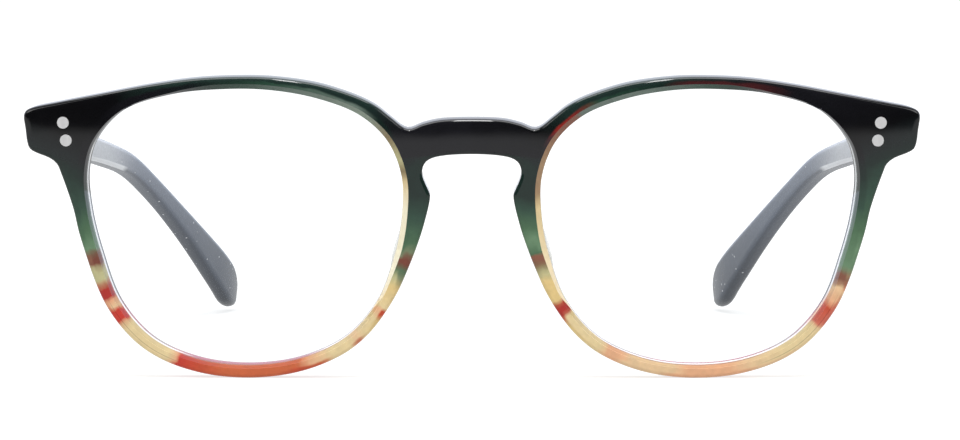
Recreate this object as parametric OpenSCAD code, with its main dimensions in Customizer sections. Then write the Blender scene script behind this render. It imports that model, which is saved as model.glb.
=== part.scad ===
// Round plastic eyeglasses with a keyhole bridge, riveted five-barrel hinges and clear lenses.
// They stand open on the bottoms of the rims and on the tips of the temples.
// X runs across the front, -Y is the way the wearer looks, Z is up and Z = 0 is the table.

/* [Lenses] */
// Width of a lens at the tip of its edge bevel
lens_w = 50.8; // [46:0.2:54]
// Height of a lens at the tip of its edge bevel
lens_h = 44.8; // [41:0.2:48]
// Distance between the two lenses
bridge_w = 20.1; // [18:0.1:23]
// Thickness of a lens at its edge
lens_t = 1.9; // [1.6:0.1:2.2]
// Gap between the lens bevel and the groove of the rim
lens_gap = 0.08; // [0.05:0.01:0.12]

/* [Front] */
// Width across the endpieces
front_w = 139.8; // [136:0.2:150]
// Thickness of the front sheet
front_t = 4.2; // [4:0.1:5]
// Width of the rim outside the lens at its lowest point
rim_w = 1.3; // [1.15:0.05:2.4]
// Width of the rim above the lens at its highest point
brow_w = 1.3; // [1.2:0.05:2.2]
// How much wider the rim gets beside the endpiece
temple_flare = 0.5; // [0.3:0.05:1.5]
// How much wider the rim gets beside the nose
nose_flare = 1.75; // [1.2:0.05:2.2]
// Height of the endpiece
endpiece_h = 7.7; // [7.2:0.1:8.6]
// Height of the lens top above the underside of the endpiece
endpiece_drop = 11.8; // [10.5:0.05:12.5]
// Height of the bridge bar at its middle
bridge_h = 5.5; // [4.6:0.1:7]
// Height of the lens top above the top of the bridge
bridge_drop = 5.25; // [4:0.05:6.5]
// Depth of the groove that holds the lens
groove_d = 0.6; // [0.5:0.05:0.8]
// Width of the bevel round the lens on the front face
bevel_w = 0.85; // [0.6:0.05:1]
// Depth of the bevel round the lens
bevel_d = 1; // [0.6:0.05:1.1]
// Rounding of the outer edges
edge_r = 0.6; // [0.3:0.05:0.8]
// Radius of the front's wrap across its width
wrap_r = 320; // [240:10:400]
// Radius of the front's dish from top to bottom
dish_r = 400; // [300:10:700]
// Forward lean of the front
lean = 5; // [3:0.5:7]

/* [Nose pads] */
// Height of a nose pad
pad_h = 14.5; // [12:0.5:16]
// Depth of a nose pad behind the front
pad_d = 4.6; // [3.8:0.1:6]
// Width of a nose pad where it is glued on
pad_w = 1.5; // [1.3:0.1:1.7]
// How far a nose pad leans outwards to its back edge
pad_splay = 1.6; // [1.2:0.1:2.4]
// Thickness of the glue line behind the front
glue_gap = 0.05; // [0.03:0.01:0.1]

/* [Temples] */
// Length of a temple from its front end to its tip, along Y
temple_l = 125.5; // [117:0.5:132]
// Height of a temple where it meets the endpiece
temple_h = 7; // [6.4:0.1:7.4]
// Height of a temple at its slimmest
waist_h = 3.8; // [3.5:0.1:4.6]
// Height of the paddle at the tip
paddle_h = 8.6; // [7.4:0.1:9.4]
// Thickness of a temple at its front end
temple_t = 4; // [3.8:0.1:4.6]
// Thickness of a temple at its slimmest
waist_t = 3.2; // [2.8:0.1:3.6]
// Thickness of a temple at the paddle
paddle_t = 3; // [2.7:0.1:3.4]
// Rounding of the temple's long edges
temple_r = 1.1; // [0.7:0.05:1.2]
// Inward set of the tip
tip_in = 20.6; // [17:0.2:22]
// Gap between the front end of a temple and the endpiece
temple_gap = 0.3; // [0.2:0.05:0.4]
// Diameter of the core wire inside a temple
wire_d = 1.3; // [1.1:0.1:1.5]
// Gap around the core wire
wire_gap = 0.03; // [0.02:0.01:0.05]

/* [Hinges] */
// Height of the hinge barrel, all five knuckles together
barrel_h = 6.4; // [5.6:0.1:6.8]
// Radius of the hinge barrel
barrel_r = 1.3; // [1.2:0.05:1.4]
// Gap between one knuckle and the next
knuckle_gap = 0.08; // [0.05:0.01:0.12]
// Diameter of the hinge screw
screw_d = 1.2; // [1.1:0.05:1.4]
// Radial gap round the screw in the temple's knuckles
running_gap = 0.05; // [0.03:0.01:0.08]
// Radial gap round the screw in the front's knuckles
seat_gap = 0.02; // [0.01:0.01:0.03]
// Diameter of the screw head
screw_head_d = 2.3; // [2:0.1:2.5]
// Height of the screw head
screw_head_h = 0.8; // [0.6:0.1:1]
// Thickness of a hinge plate
plate_t = 1.1; // [1:0.05:1.2]
// Depth to which a hinge plate is let in
inlay_d = 0.7; // [0.6:0.05:0.8]
// Width of the front hinge plate
plate_w = 4.2; // [3.8:0.1:4.4]
// Height of the front hinge plate
plate_h = 6; // [5.4:0.1:6.2]
// Length of the temple hinge plate
temple_plate_l = 9; // [8:0.1:10]
// Height of the temple hinge plate
temple_plate_h = 3.6; // [3.3:0.1:3.8]
// Clear gap from the barrel to the endpiece and the temple
barrel_gap = 0.3; // [0.25:0.05:0.4]

/* [Rivets] */
// Diameter of a rivet's head
rivet_head_d = 1.85; // [1.6:0.05:2]
// Length of a rivet's head
rivet_head_h = 0.9; // [0.7:0.1:1.2]
// Diameter of a rivet's shank
rivet_d = 1.2; // [1:0.05:1.4]
// Distance between the two rivets on the front
rivet_pitch = 2.8; // [2.4:0.1:3.2]
// Distance between the two rivets on a temple
temple_rivet_pitch = 4.6; // [4:0.1:5]
// Distance of the front's rivets from the end of the front
rivet_in = 6.5; // [6:0.1:7]
// Lean of the front's pair of rivets, outwards at the top
rivet_lean = 9; // [0:1:12]
// How far a rivet's head stands proud
rivet_proud = 0.04; // [0:0.01:0.08]

/* [Hidden] */

$fn = 40;

// Longest straight step along a drawn outline
step_l = 2.6;

// Datum lines: the lens, the underside of the endpiece and the underside of the bridge
lens_in = bridge_w / 2;
lens_out = lens_in + lens_w;
lens_top = rim_w + lens_h;
lens_mid_x = lens_in + lens_w / 2;
lens_mid_z = rim_w + lens_h / 2;
endpiece_w = front_w / 2 - lens_out;
end_low = lens_top - endpiece_drop;
bridge_low = lens_top - bridge_drop - bridge_h;

// Smooth curve between p1 and p2 of four points in a row
function smooth(p0, p1, p2, p3, u) =
    let(
        t1 = sqrt(norm(p1 - p0)),
        t2 = t1 + sqrt(norm(p2 - p1)),
        t3 = t2 + sqrt(norm(p3 - p2)),
        t = t1 + u * (t2 - t1),
        a1 = p0 * (t1 - t) / t1 + p1 * t / t1,
        a2 = p1 * (t2 - t) / (t2 - t1) + p2 * (t - t1) / (t2 - t1),
        a3 = p2 * (t3 - t) / (t3 - t2) + p3 * (t - t2) / (t3 - t2),
        b1 = a1 * (t2 - t) / t2 + a2 * t / t2,
        b2 = a2 * (t3 - t) / (t3 - t1) + a3 * (t - t1) / (t3 - t1)
    )
    b1 * (t2 - t) / (t2 - t1) + b2 * (t - t1) / (t2 - t1);

// Lens edge, as shares of its width and height: from the outer side up, over the top and round
lens_drawn = [
    [0.999, 0.693], [0.971, 0.807], [0.877, 0.919], [0.72, 0.979], [0.559, 0.998], [0.416, 0.995],
    [0.268, 0.965], [0.137, 0.906], [0.049, 0.812], [0.005, 0.686], [0.004, 0.537],
    [0.031, 0.381], [0.082, 0.233], [0.181, 0.104], [0.326, 0.026], [0.492, 0],
    [0.658, 0.022], [0.799, 0.094], [0.901, 0.226], [0.958, 0.399], [0.991, 0.556]
];
lens_n = len(lens_drawn);
lens_knots = [for (p = lens_drawn) [lens_in + p[0] * lens_w, rim_w + p[1] * lens_h]];
function lens_knot(i) = lens_knots[((i % lens_n) + lens_n) % lens_n];
// Point of the lens edge at place t, counted in knots from the outer side
function lens_at(t) =
    let(i = floor(t))
    smooth(lens_knot(i - 1), lens_knot(i), lens_knot(i + 1), lens_knot(i + 2), t - i);
function unit(v) = v / norm(v);
// Direction out of the lens at place t
function lens_normal(t) =
    let(v = unit(lens_at(t + 0.05) - lens_at(t - 0.05)))
    [v[1], -v[0]];

// Knots of one half of the front's outline, each [x, z, place on the lens edge]
function rim_knot(t, w) = let(p = lens_at(t) + w * lens_normal(t)) [p[0], p[1], t];
function bridge_knot(p) = [p[0] * lens_in, bridge_low + p[1] * bridge_h, p[2]];
function endpiece_knot(p) = [lens_out + p[0] * endpiece_w, end_low + p[1] * endpiece_h, p[2]];
// Top of the bridge, from its middle out to the dip beside the rim
bridge_knots = [
    for (p = [[0, 1, 8.35], [0.498, 0.964, 8.18], [0.756, 0.855, 8.05], [0.985, 0.718, 7.9]])
        bridge_knot(p)
];
// Brow: [place on the lens edge, width as a share of the brow's]
brow_knots = [
    for (p = [
        [7.59, 1.68], [7.24, 1.59], [6.91, 1.44], [6.42, 1.29], [5.82, 1.22], [4.95, 1.06],
        [4.2, 1], [3.41, 1.01], [2.61, 1.27], [1.81, 2.75]
    ]) rim_knot(p[0], p[1] * brow_w)
];
// Endpiece, from its top round its end and under it to the rim
endpiece_knots = [
    for (p = [
        [0.403, 1.149, 1.4], [0.856, 1.032, 1.1], [0.956, 0.974, 1], [1, 0.883, 0.9],
        [0.972, 0.584, 0.6], [0.945, 0.325, 0.3], [0.901, 0.195, 0.2], [0.79, 0.117, 0.1],
        [0.558, 0.013, -0.02], [0.431, -0.104, -0.15], [0.359, -0.299, -0.35]
    ]) endpiece_knot(p)
];
// Share of each flare along the rim, by the place on the lens edge, from the nose to the endpiece
flare = [
    [-11.5, 1.3], [-11, 1], [-10.5, 0.65], [-10, 0.39], [-9.5, 0.17], [-9, 0], [-7, 0], [-5, 0],
    [-3, 0], [-2.3, 0.33], [-1.6, 0.6], [-0.8, 1.05]
];
// The rim runs by these places, with the nose's flare past the place of its bottom
rim_first = -0.9;
rim_last = -10.9;
rim_bottom = -7;
function flare_at(t) = lookup(t, flare) * (t < rim_bottom ? nose_flare : temple_flare);
rim_knots = [for (t = [rim_first : -0.5 : rim_last]) rim_knot(t, rim_w + flare_at(t))];
// Keyhole, from the nose side of the rim up and in to the middle of the bridge's underside
keyhole_knots = [
    for (p = [
        [0.641, -1.182, -11.5], [0.662, -1.027, -11.65], [0.716, -0.809, -11.8],
        [0.761, -0.555, -12], [0.751, -0.355, -12.1], [0.701, -0.209, -12.2], [0.607, -0.109, -12.25],
        [0.408, -0.036, -12.35], [0, 0, -12.45]
    ]) bridge_knot(p)
];
outline = concat(bridge_knots, brow_knots, endpiece_knots, rim_knots, keyhole_knots);
outline_n = len(outline);
function flip(p) = [-p[0], p[1], p[2]];
function outline_knot(i) =
    i < 0 ? flip(outline[1]) : i >= outline_n ? flip(outline[outline_n - 2]) : outline[i];
// The outline in short steps, each [x, z, place on the lens edge]
stations = [
    for (i = [0 : outline_n - 2])
        let(
            p0 = outline_knot(i - 1), p1 = outline[i], p2 = outline[i + 1], p3 = outline_knot(i + 2),
            n = max(1, ceil(norm([p2[0] - p1[0], p2[1] - p1[1]]) / step_l))
        )
        for (j = [0 : n - 1])
            let(q = smooth([p0[0], p0[1]], [p1[0], p1[1]], [p2[0], p2[1]], [p3[0], p3[1]], j / n))
            [q[0], q[1], p1[2] + (p2[2] - p1[2]) * j / n],
    outline[outline_n - 1]
];
station_n = len(stations);
function station_xz(i) =
    i < 0 ? [-stations[1][0], stations[1][1]]
    : i >= station_n ? [-stations[station_n - 2][0], stations[station_n - 2][1]]
    : [stations[i][0], stations[i][1]];
function outline_normal(i) =
    let(v = unit(station_xz(i + 1) - station_xz(i - 1)))
    [-v[1], v[0]];

// The curved sheet: wrap across, dish from top to bottom, then the forward lean
// The wrap turns about this distance from the middle, and eases in over the bridge up to the knee
wrap_flat = 22;
wrap_knee = 12;
knee_slope = (wrap_knee - wrap_flat) / wrap_r;
function wrap_slope(x) = x < wrap_knee ? knee_slope * x / wrap_knee : (x - wrap_flat) / wrap_r;
function wrap_y(x) =
    x < wrap_knee ? knee_slope * x * x / (2 * wrap_knee)
    : knee_slope * wrap_knee / 2 + (pow(x - wrap_flat, 2) - pow(wrap_knee - wrap_flat, 2)) / (2 * wrap_r);
// Point of the sheet at x and z, at the depth d behind its face
function leaned(x, z, d) =
    let(
        a = atan(wrap_slope(x)),
        y = wrap_y(x) + pow(z - lens_mid_z, 2) / (2 * dish_r) + d * cos(a)
    )
    [x - d * sin(a), y * cos(lean) - z * sin(lean), z * cos(lean) + y * sin(lean)];

// One section through the rim: [share of the way out, offset, depth] as points of the sheet
groove_mid = front_t / 2;
// Half the width of the lens groove at its mouth
groove_half = 0.75;
back_chamfer = 0.5;
arc_in = edge_r * (1 - cos(45));
// Share of the bevel's width by the place on the lens edge: it is steep beside the endpiece and below
bevel_shares = [
    [-10.3, 1], [-9.5, 0.5], [-3, 0.4], [-2.4, 0.3], [1.5, 0.3], [2.5, 0.5], [3.5, 1]
];
function section(i) =
    let(
        s = stations[i],
        l = lens_at(s[2]),
        m = lens_normal(s[2]),
        o = [s[0], s[1]],
        n = outline_normal(i),
        wall = l - groove_d * m,
        face_in = wall + lookup(s[2], bevel_shares) * bevel_w * m,
        back_in = wall + back_chamfer * m,
        back_out = o - edge_r * n,
        points = [
            [face_in, 0], [wall, bevel_d], [wall, groove_mid - groove_half], [l, groove_mid],
            [wall, groove_mid + groove_half], [wall, front_t - back_chamfer], [back_in, front_t],
            [(back_in + back_out) / 2, front_t], [back_out, front_t],
            [o - arc_in * n, front_t - arc_in], [o, front_t - edge_r], [o, edge_r],
            [o - arc_in * n, arc_in], [back_out, 0], [(face_in + back_out) / 2, 0]
        ]
    )
    [for (p = points) leaned(p[0][0], p[0][1], p[1])];
section_n = 15;
// Section points from this one on, and before the last two, lie on the outer edge
edge_from = 8;
edge_to = 13;

leaned_points = [for (i = [0 : station_n - 1]) each section(i)];
half_n = len(leaned_points);
function lowest(points) = min([for (p = points) p[2]]);
// The lean lifts the rims a little, so the front is set back down on the table
set_down = [0, 0, -lowest(leaned_points)];
half_points = [for (p = leaned_points) p + set_down];
function sheet(x, z, d) = leaned(x, z, d) + set_down;
// Corner number of section point k at station i, on the side s; both sides share the middle
function corner(i, k, s) =
    (i == 0 || i == station_n - 1) && k >= edge_from && k <= edge_to
    ? i * section_n + k
    : s * half_n + i * section_n + k;
// Two triangles of a quad, turned to face outwards on the side s
function quad(a, b, c, d, s) = s == 0 ? [[a, c, b], [a, d, c]] : [[a, b, c], [a, c, d]];

module front_sheet() {
    points = concat(half_points, [for (p = half_points) flip(p)]);
    faces = [
        for (s = [0, 1], i = [0 : station_n - 1], k = [0 : section_n - 1])
            let(j = (i + 1) % station_n, m = (k + 1) % section_n)
            if (!(j == 0 && k >= edge_from && k < edge_to))
                each quad(corner(i, k, s), corner(i, m, s), corner(j, m, s), corner(j, k, s), s)
    ];
    polyhedron(points = points, faces = faces, convexity = 8);
}

// Hinge seat on the back of the endpiece
// The rivets' middle lies this far above the middle of the endpiece
rivet_up = 0.5;
rivet_x = front_w / 2 - rivet_in;
rivet_z = end_low + endpiece_h / 2 + rivet_up;
seat_yaw = atan(wrap_slope(rivet_x));
seat_tilt = lean - atan((rivet_z - lens_mid_z) / dish_r);
seat_point = sheet(rivet_x, rivet_z, 0);
seat_back = [-sin(seat_yaw), cos(seat_yaw) * cos(seat_tilt), cos(seat_yaw) * sin(seat_tilt)];
plate_proud = plate_t - inlay_d;

// Pivot of the hinge: an upright axis behind the seat
pivot_out = 0.6;
pivot_back = front_t + plate_proud + barrel_r + barrel_gap;
pivot = seat_point + pivot_out * [cos(seat_yaw), sin(seat_yaw), 0] + pivot_back * seat_back;
knuckle_h = (barrel_h - 4 * knuckle_gap) / 5;
barrel_low = pivot[2] - barrel_h / 2;
function knuckle_low(i) = barrel_low + i * (knuckle_h + knuckle_gap);

// Temple: the front end lies along the back of the endpiece
inner_x = pivot[0] + barrel_r + barrel_gap;
temple_x = inner_x + temple_t / 2;
temple_z = seat_point[2];
// Y of the plane behind the endpiece where a temple ends, at x and z
function behind_endpiece(x, z) =
    let(p = seat_point + (front_t + temple_gap) * seat_back)
    p[1] - (seat_back[0] * (x - p[0]) + seat_back[2] * (z - p[2])) / seat_back[1];
temple_y = behind_endpiece(temple_x, temple_z);

// Knots of a temple: [share of length, share of inward set, share of drop, share of slimming]
temple_drawn = [
    [0, 0, 0, 0], [0.13, 0.013, 0.05, 0.48], [0.29, 0.06, 0.113, 0.78], [0.44, 0.183, 0.178, 0.92],
    [0.57, 0.328, 0.262, 1]
];
// Knots of the paddle: the last share is how far it has widened
paddle_drawn = [
    [0.68, 0.487, 0.409, 0.01], [0.765, 0.632, 0.555, 0.135], [0.835, 0.754, 0.685, 0.345],
    [0.895, 0.855, 0.8, 0.59], [0.94, 0.93, 0.888, 0.77], [0.975, 0.977, 0.955, 0.905], [1, 1, 1, 1]
];
function temple_knots(drop) = [
    for (p = temple_drawn) [
        temple_x - p[1] * tip_in, temple_y + p[0] * temple_l, temple_z - p[2] * drop,
        temple_h + (waist_h - temple_h) * p[3], temple_t + (waist_t - temple_t) * p[3]
    ],
    for (p = paddle_drawn) [
        temple_x - p[1] * tip_in, temple_y + p[0] * temple_l, temple_z - p[2] * drop,
        waist_h + (paddle_h - waist_h) * p[3], waist_t + (paddle_t - waist_t) * p[3]
    ]
];
last_knot = len(temple_drawn) + len(paddle_drawn) - 1;
function temple_knot(knots, i) =
    i < 0 ? 2 * knots[0] - knots[1]
    : i > last_knot ? 2 * knots[last_knot] - knots[last_knot - 1]
    : knots[i];
function temple_at(knots, t) =
    let(i = max(0, min(floor(t), last_knot - 1)))
    smooth(
        temple_knot(knots, i - 1), temple_knot(knots, i), temple_knot(knots, i + 1),
        temple_knot(knots, i + 2), t - i
    );
// Place, direction and inward side along the knots of a temple
function place(v) = [v[0], v[1], v[2]];
function along(knots, t) = unit(place(temple_at(knots, t + 0.02)) - place(temple_at(knots, t - 0.02)));
function inward(knots, t) = unit(cross([0, 0, 1], along(knots, t)));

// Round-cornered section of a temple: [inward, up] for the height h, the thickness w and the rounding c
corner_steps = [0, 30, 60, 90];
function temple_profile(h, w, c) =
    let(r = min(c, 0.42 * min(h, w)))
    [
        for (q = [0 : 3], a = corner_steps)
            [
                (q == 0 || q == 3 ? 1 : -1) * (w / 2 - r) + r * cos(a + 90 * q),
                (q < 2 ? 1 : -1) * (h / 2 - r) + r * sin(a + 90 * q)
            ]
    ];
// Where the sections of the round tip are taken, as angles, and its length as a share of the height
tip_angles = [30, 52, 70, 84];
tip_round_share = 0.5;
// Share of the long edges' rounding at the front end, which grows to all of it further back
front_rounding = 0.5;
// A ring at place t, moved on by ahead and shrunk to the share size, for the round tip
function temple_ring(knots, t, ahead, size) =
    let(
        v = temple_at(knots, t), a = along(knots, t), s = inward(knots, t), u = cross(a, s),
        c = temple_r * min(1, front_rounding + t / last_knot)
    )
    [
        for (p = temple_profile(v[3] * size, v[4] * (0.4 + 0.6 * size), c))
            place(v) + ahead * a + p[0] * s + p[1] * u
    ];
ring_step = 1 / 3;
function temple_rings(drop) =
    let(
        knots = temple_knots(drop),
        first = temple_ring(knots, 0, 0, 1),
        cap = paddle_h * tip_round_share
    )
    [
        [for (p = first) [p[0], behind_endpiece(p[0], p[2]), p[2]]],
        for (t = [ring_step : ring_step : last_knot]) temple_ring(knots, t, 0, 1),
        for (a = tip_angles) temple_ring(knots, last_knot, cap * sin(a), cos(a))
    ];
function lowest_ring(rings) = min([for (r = rings) lowest(r)]);
// The drop is set so that the tips come down to the table
drop_guess = temple_z + lowest_ring(temple_rings(temple_z));
temple_drop = drop_guess + lowest_ring(temple_rings(drop_guess));
temple_path = temple_knots(temple_drop);
temple_shape = temple_rings(temple_drop);

// The origin is under the middle of the whole length
front_most = min([for (p = half_points) p[1]]);
back_most = max([for (r = temple_shape, p = r) p[1]]);
middle_y = (front_most + back_most) / 2;

// Closed tube through a list of rings with as many points each
module rings_solid(rings) {
    n = len(rings[0]);
    last = len(rings) - 1;
    faces = [
        [for (k = [0 : n - 1]) k],
        for (i = [0 : last - 1], k = [0 : n - 1])
            let(m = (k + 1) % n)
            each quad(i * n + k, i * n + m, (i + 1) * n + m, (i + 1) * n + k, 0),
        [for (k = [n - 1 : -1 : 0]) last * n + k]
    ];
    polyhedron(points = [for (r = rings) each r], faces = faces, convexity = 8);
}

module left_side() {
    translate([0, -middle_y, 0]) children();
}
module right_side() {
    mirror([1, 0, 0]) left_side() children();
}
module on_endpiece() {
    translate(seat_point) rotate([seat_tilt, 0, 0]) rotate([0, 0, seat_yaw]) children();
}
temple_slope = atan((temple_path[1][2] - temple_path[0][2]) / (temple_path[1][1] - temple_path[0][1]));
module on_temple() {
    translate([inner_x, temple_y, temple_z]) rotate([temple_slope, 0, 0]) children();
}
// Plate outline with round corners
module round_rect(w, h, r) {
    square([w - 2 * r, h], center = true);
    square([w, h - 2 * r], center = true);
    for (x = [-1, 1], y = [-1, 1])
        translate([x * (w / 2 - r), y * (h / 2 - r)]) circle(r);
}
plate_corner = 0.8;
// The front plate ends this far past the pivot, clear of the temple
plate_reach = 1;
module front_plate(t, gap) {
    x = pivot_out + plate_reach - plate_w / 2;
    translate([x, front_t - inlay_d - gap, 0]) rotate([-90, 0, 0])
        linear_extrude(t) round_rect(plate_w + 2 * gap, plate_h + 2 * gap, plate_corner);
}
// The temple plate begins this far behind the barrel
plate_behind = 0.2;
temple_plate_y = pivot[1] + barrel_r + plate_behind - temple_y;
module temple_plate(t, gap) {
    translate([inlay_d + gap, temple_plate_y + temple_plate_l / 2, 0]) rotate([0, -90, 0])
        linear_extrude(t) round_rect(temple_plate_h + 2 * gap, temple_plate_l + 2 * gap, plate_corner);
}
// Depth of a rivet's end in its hinge plate
rivet_end = plate_proud / 2;
// A rivet along Z with its head's face at Z = 0, as long as l
module rivet(l, gap) {
    cylinder(h = rivet_head_h + gap, d = rivet_head_d + 2 * gap);
    cylinder(h = l, d = rivet_d + 2 * gap);
}
module front_rivet(s, gap) {
    on_endpiece() rotate([0, rivet_lean, 0]) translate([0, -rivet_proud, s * rivet_pitch / 2])
        rotate([-90, 0, 0]) rivet(front_t + rivet_end + rivet_proud, gap);
}
// How fast a temple slims over its rivets
slim_per_y = (waist_t - temple_t) * temple_drawn[1][3] / (temple_drawn[1][0] * temple_l);
temple_rivet_y = temple_plate_y + (temple_plate_l - temple_rivet_pitch) / 2;
module temple_rivet(i, gap) {
    y = temple_rivet_y + i * temple_rivet_pitch;
    head_x = temple_t + slim_per_y * y + rivet_proud;
    on_temple() translate([head_x, y, 0]) rotate([0, -90, 0]) rivet(head_x + rivet_end, gap);
}
module barrel_at(z, h, r) {
    translate([pivot[0], pivot[1], z]) cylinder(h = h, r = r);
}

module front() {
    color("darkslategray")
    difference() {
        translate([0, -middle_y, 0]) front_sheet();
        left_side() front_cuts();
        right_side() front_cuts();
    }
}
// How far a cutting shape runs past what it cuts
over = 1;
module front_cuts() {
    on_endpiece() front_plate(plate_t + over, seat_gap);
    for (s = [-1, 1]) front_rivet(s, seat_gap);
}

lens_steps = 56;
// Width of the lens's sloped edge inside its bevel
lens_rim = 0.12;
module lens() {
    shapes = [
        for (i = [0 : lens_steps - 1])
            let(
                t = i * lens_n / lens_steps,
                l = lens_at(t), m = lens_normal(t),
                mid = [lens_mid_x, lens_mid_z],
                tip = l - lens_gap * m,
                seat = l - (groove_d + lens_gap) * m,
                side = seat - lens_rim * m,
                half = groove_half - lens_gap,
                top = groove_mid - lens_t / 2,
                low = groove_mid + lens_t / 2
            )
            [
                [mid + 0.35 * (side - mid), top], [mid + 0.7 * (side - mid), top], [side, top],
                [seat, groove_mid - half], [tip, groove_mid], [seat, groove_mid + half],
                [side, low], [mid + 0.7 * (side - mid), low], [mid + 0.35 * (side - mid), low]
            ]
    ];
    n = len(shapes[0]);
    rings = [for (s = shapes) [for (p = s) sheet(p[0][0], p[0][1], p[1])]];
    points = [
        for (r = rings) each r,
        sheet(lens_mid_x, lens_mid_z, groove_mid - lens_t / 2),
        sheet(lens_mid_x, lens_mid_z, groove_mid + lens_t / 2)
    ];
    top_centre = n * lens_steps;
    faces = [
        for (i = [0 : lens_steps - 1])
            let(j = (i + 1) % lens_steps)
            each concat(
                [[top_centre, j * n, i * n], [top_centre + 1, i * n + n - 1, j * n + n - 1]],
                [for (k = [0 : n - 2]) each quad(i * n + k, i * n + k + 1, j * n + k + 1, j * n + k, 0)]
            )
    ];
    color("aliceblue") polyhedron(points = points, faces = faces, convexity = 4);
}

// A pad follows the nose side of the rim, thickest in its middle and thin at both ends
pad_knot = -10.5;
pad_steps = 12;
pad_end_share = 0.16;
// Distance of a pad from the rounding of the rim
pad_inset = 0.08;
knot_l = PI * (lens_w + lens_h) / 2 / lens_n;
// Section of a pad: [towards the lens, back] as shares of the width, the splay and the depth
pad_drawn = [
    [0, 0, 0], [0, 0.3, 0.35], [0, 0.65, 0.7], [0.05, 0.95, 0.93], [0.22, 1.04, 1],
    [0.45, 1, 0.95], [0.66, 0.75, 0.7], [0.88, 0.4, 0.4], [1, 0, 0]
];
module nose_pad() {
    rings = [
        for (j = [pad_steps : -2 : -pad_steps])
            let(
                s = sin(90 * j / pad_steps),
                c = max(pad_end_share, sqrt(1 - s * s)),
                t = pad_knot - s * pad_h / 2 / knot_l,
                m = lens_normal(t),
                w = rim_w + flare_at(t) - edge_r - pad_inset,
                e = lens_at(t) + w * m
            )
            [
                for (p = pad_drawn)
                    let(q = e - c * (p[0] * pad_w + p[1] * pad_splay) * m)
                    sheet(q[0], q[1], front_t + glue_gap + c * p[2] * pad_d)
            ]
    ];
    color("darkseagreen") rings_solid(rings);
}

module temple() {
    color("slategray")
    difference() {
        rings_solid(temple_shape);
        wire_tube(wire_d / 2 + wire_gap, wire_end_gap);
        on_temple() temple_plate(plate_t + over, seat_gap);
        for (i = [0, 1]) temple_rivet(i, seat_gap);
    }
}
// The wire runs between these shares of the temple's path
wire_from_share = 0.1;
wire_to_share = 0.87;
wire_end_gap = 0.001;
wire_sides = 8;
module wire_tube(r, extra) {
    steps = 18;
    from = (wire_from_share - extra) * last_knot;
    to = (wire_to_share + extra) * last_knot;
    rings_solid([
        for (i = [0 : steps])
            let(
                t = from + (to - from) * i / steps,
                s = inward(temple_path, t),
                u = cross(along(temple_path, t), s)
            )
            [
                for (k = [0 : wire_sides - 1])
                    let(a = 360 * k / wire_sides)
                    place(temple_at(temple_path, t)) + r * (cos(a) * s + sin(a) * u)
            ]
    ]);
}
module core_wire() {
    color("silver") wire_tube(wire_d / 2, 0);
}

// The lugs start inside the part of the plate that stands proud of the endpiece
module front_hinge_leaf() {
    lug_y = pivot_back - front_t + plate_t;
    color("gray")
    difference() {
        union() {
            on_endpiece() front_plate(plate_t, 0);
            intersection() {
                for (i = [0, 2, 4])
                    translate([pivot[0] - barrel_r, pivot[1] - lug_y, knuckle_low(i)])
                        cube([2 * barrel_r, lug_y, knuckle_h]);
                on_endpiece() translate([-plate_h, front_t + plate_proud / 2, -plate_h])
                    cube(2 * plate_h);
            }
            for (i = [0, 2, 4]) barrel_at(knuckle_low(i), knuckle_h, barrel_r);
        }
        barrel_at(barrel_low - over, barrel_h + 2 * over, screw_d / 2 + seat_gap);
        for (s = [-1, 1]) front_rivet(s, seat_gap);
    }
}
// Length of a temple knuckle's arm, and its distance from the temple's inner face
arm_l = 3.4;
arm_gap = 0.08;
module temple_hinge_leaf() {
    color("gray")
    difference() {
        union() {
            on_temple() temple_plate(plate_t, 0);
            for (i = [1, 3]) {
                translate([pivot[0], pivot[1], knuckle_low(i)])
                    cube([inner_x - arm_gap - pivot[0], arm_l, knuckle_h]);
                barrel_at(knuckle_low(i), knuckle_h, barrel_r);
            }
        }
        barrel_at(barrel_low - over, barrel_h + 2 * over, screw_d / 2 + running_gap);
        for (i = [0, 1]) temple_rivet(i, seat_gap);
    }
}
// Width of the slot in a screw's head
slot_w = 0.35;
module hinge_screw() {
    head_low = barrel_low + barrel_h;
    color("silver")
    difference() {
        union() {
            barrel_at(barrel_low, barrel_h, screw_d / 2);
            barrel_at(head_low, screw_head_h, screw_head_d / 2);
        }
        translate([pivot[0] - screw_head_d, pivot[1] - slot_w / 2, head_low + screw_head_h / 2])
            cube([2 * screw_head_d, slot_w, screw_head_h]);
    }
}

front();
left_side() lens();  // lens_left
right_side() lens();  // lens_right
left_side() nose_pad();  // nose_pad_left
right_side() nose_pad();  // nose_pad_right
left_side() front_hinge_leaf();  // front_hinge_leaf_left
right_side() front_hinge_leaf();  // front_hinge_leaf_right
left_side() color("silver") front_rivet(1, 0);  // front_rivet_upper_left
left_side() color("silver") front_rivet(-1, 0);  // front_rivet_lower_left
right_side() color("silver") front_rivet(1, 0);  // front_rivet_upper_right
right_side() color("silver") front_rivet(-1, 0);  // front_rivet_lower_right
left_side() hinge_screw();  // hinge_screw_left
right_side() hinge_screw();  // hinge_screw_right
left_side() temple();  // temple_left
right_side() temple();  // temple_right
left_side() core_wire();  // core_wire_left
right_side() core_wire();  // core_wire_right
left_side() temple_hinge_leaf();  // temple_hinge_leaf_left
right_side() temple_hinge_leaf();  // temple_hinge_leaf_right
left_side() color("silver") temple_rivet(0, 0);  // temple_rivet_fore_left
left_side() color("silver") temple_rivet(1, 0);  // temple_rivet_aft_left
right_side() color("silver") temple_rivet(0, 0);  // temple_rivet_fore_right
right_side() color("silver") temple_rivet(1, 0);  // temple_rivet_aft_right
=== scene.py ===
"""Looks of round plastic eyeglasses: banded acetate front, clear lenses, satin temples, riveted hinges."""

import logging
import math
from dataclasses import dataclass
from enum import Enum

import bmesh
import bpy
import numpy as np
from bpy.types import ID, Material, Mesh, Node, NodeSocket, Object
from mathutils import Matrix, Vector


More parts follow.
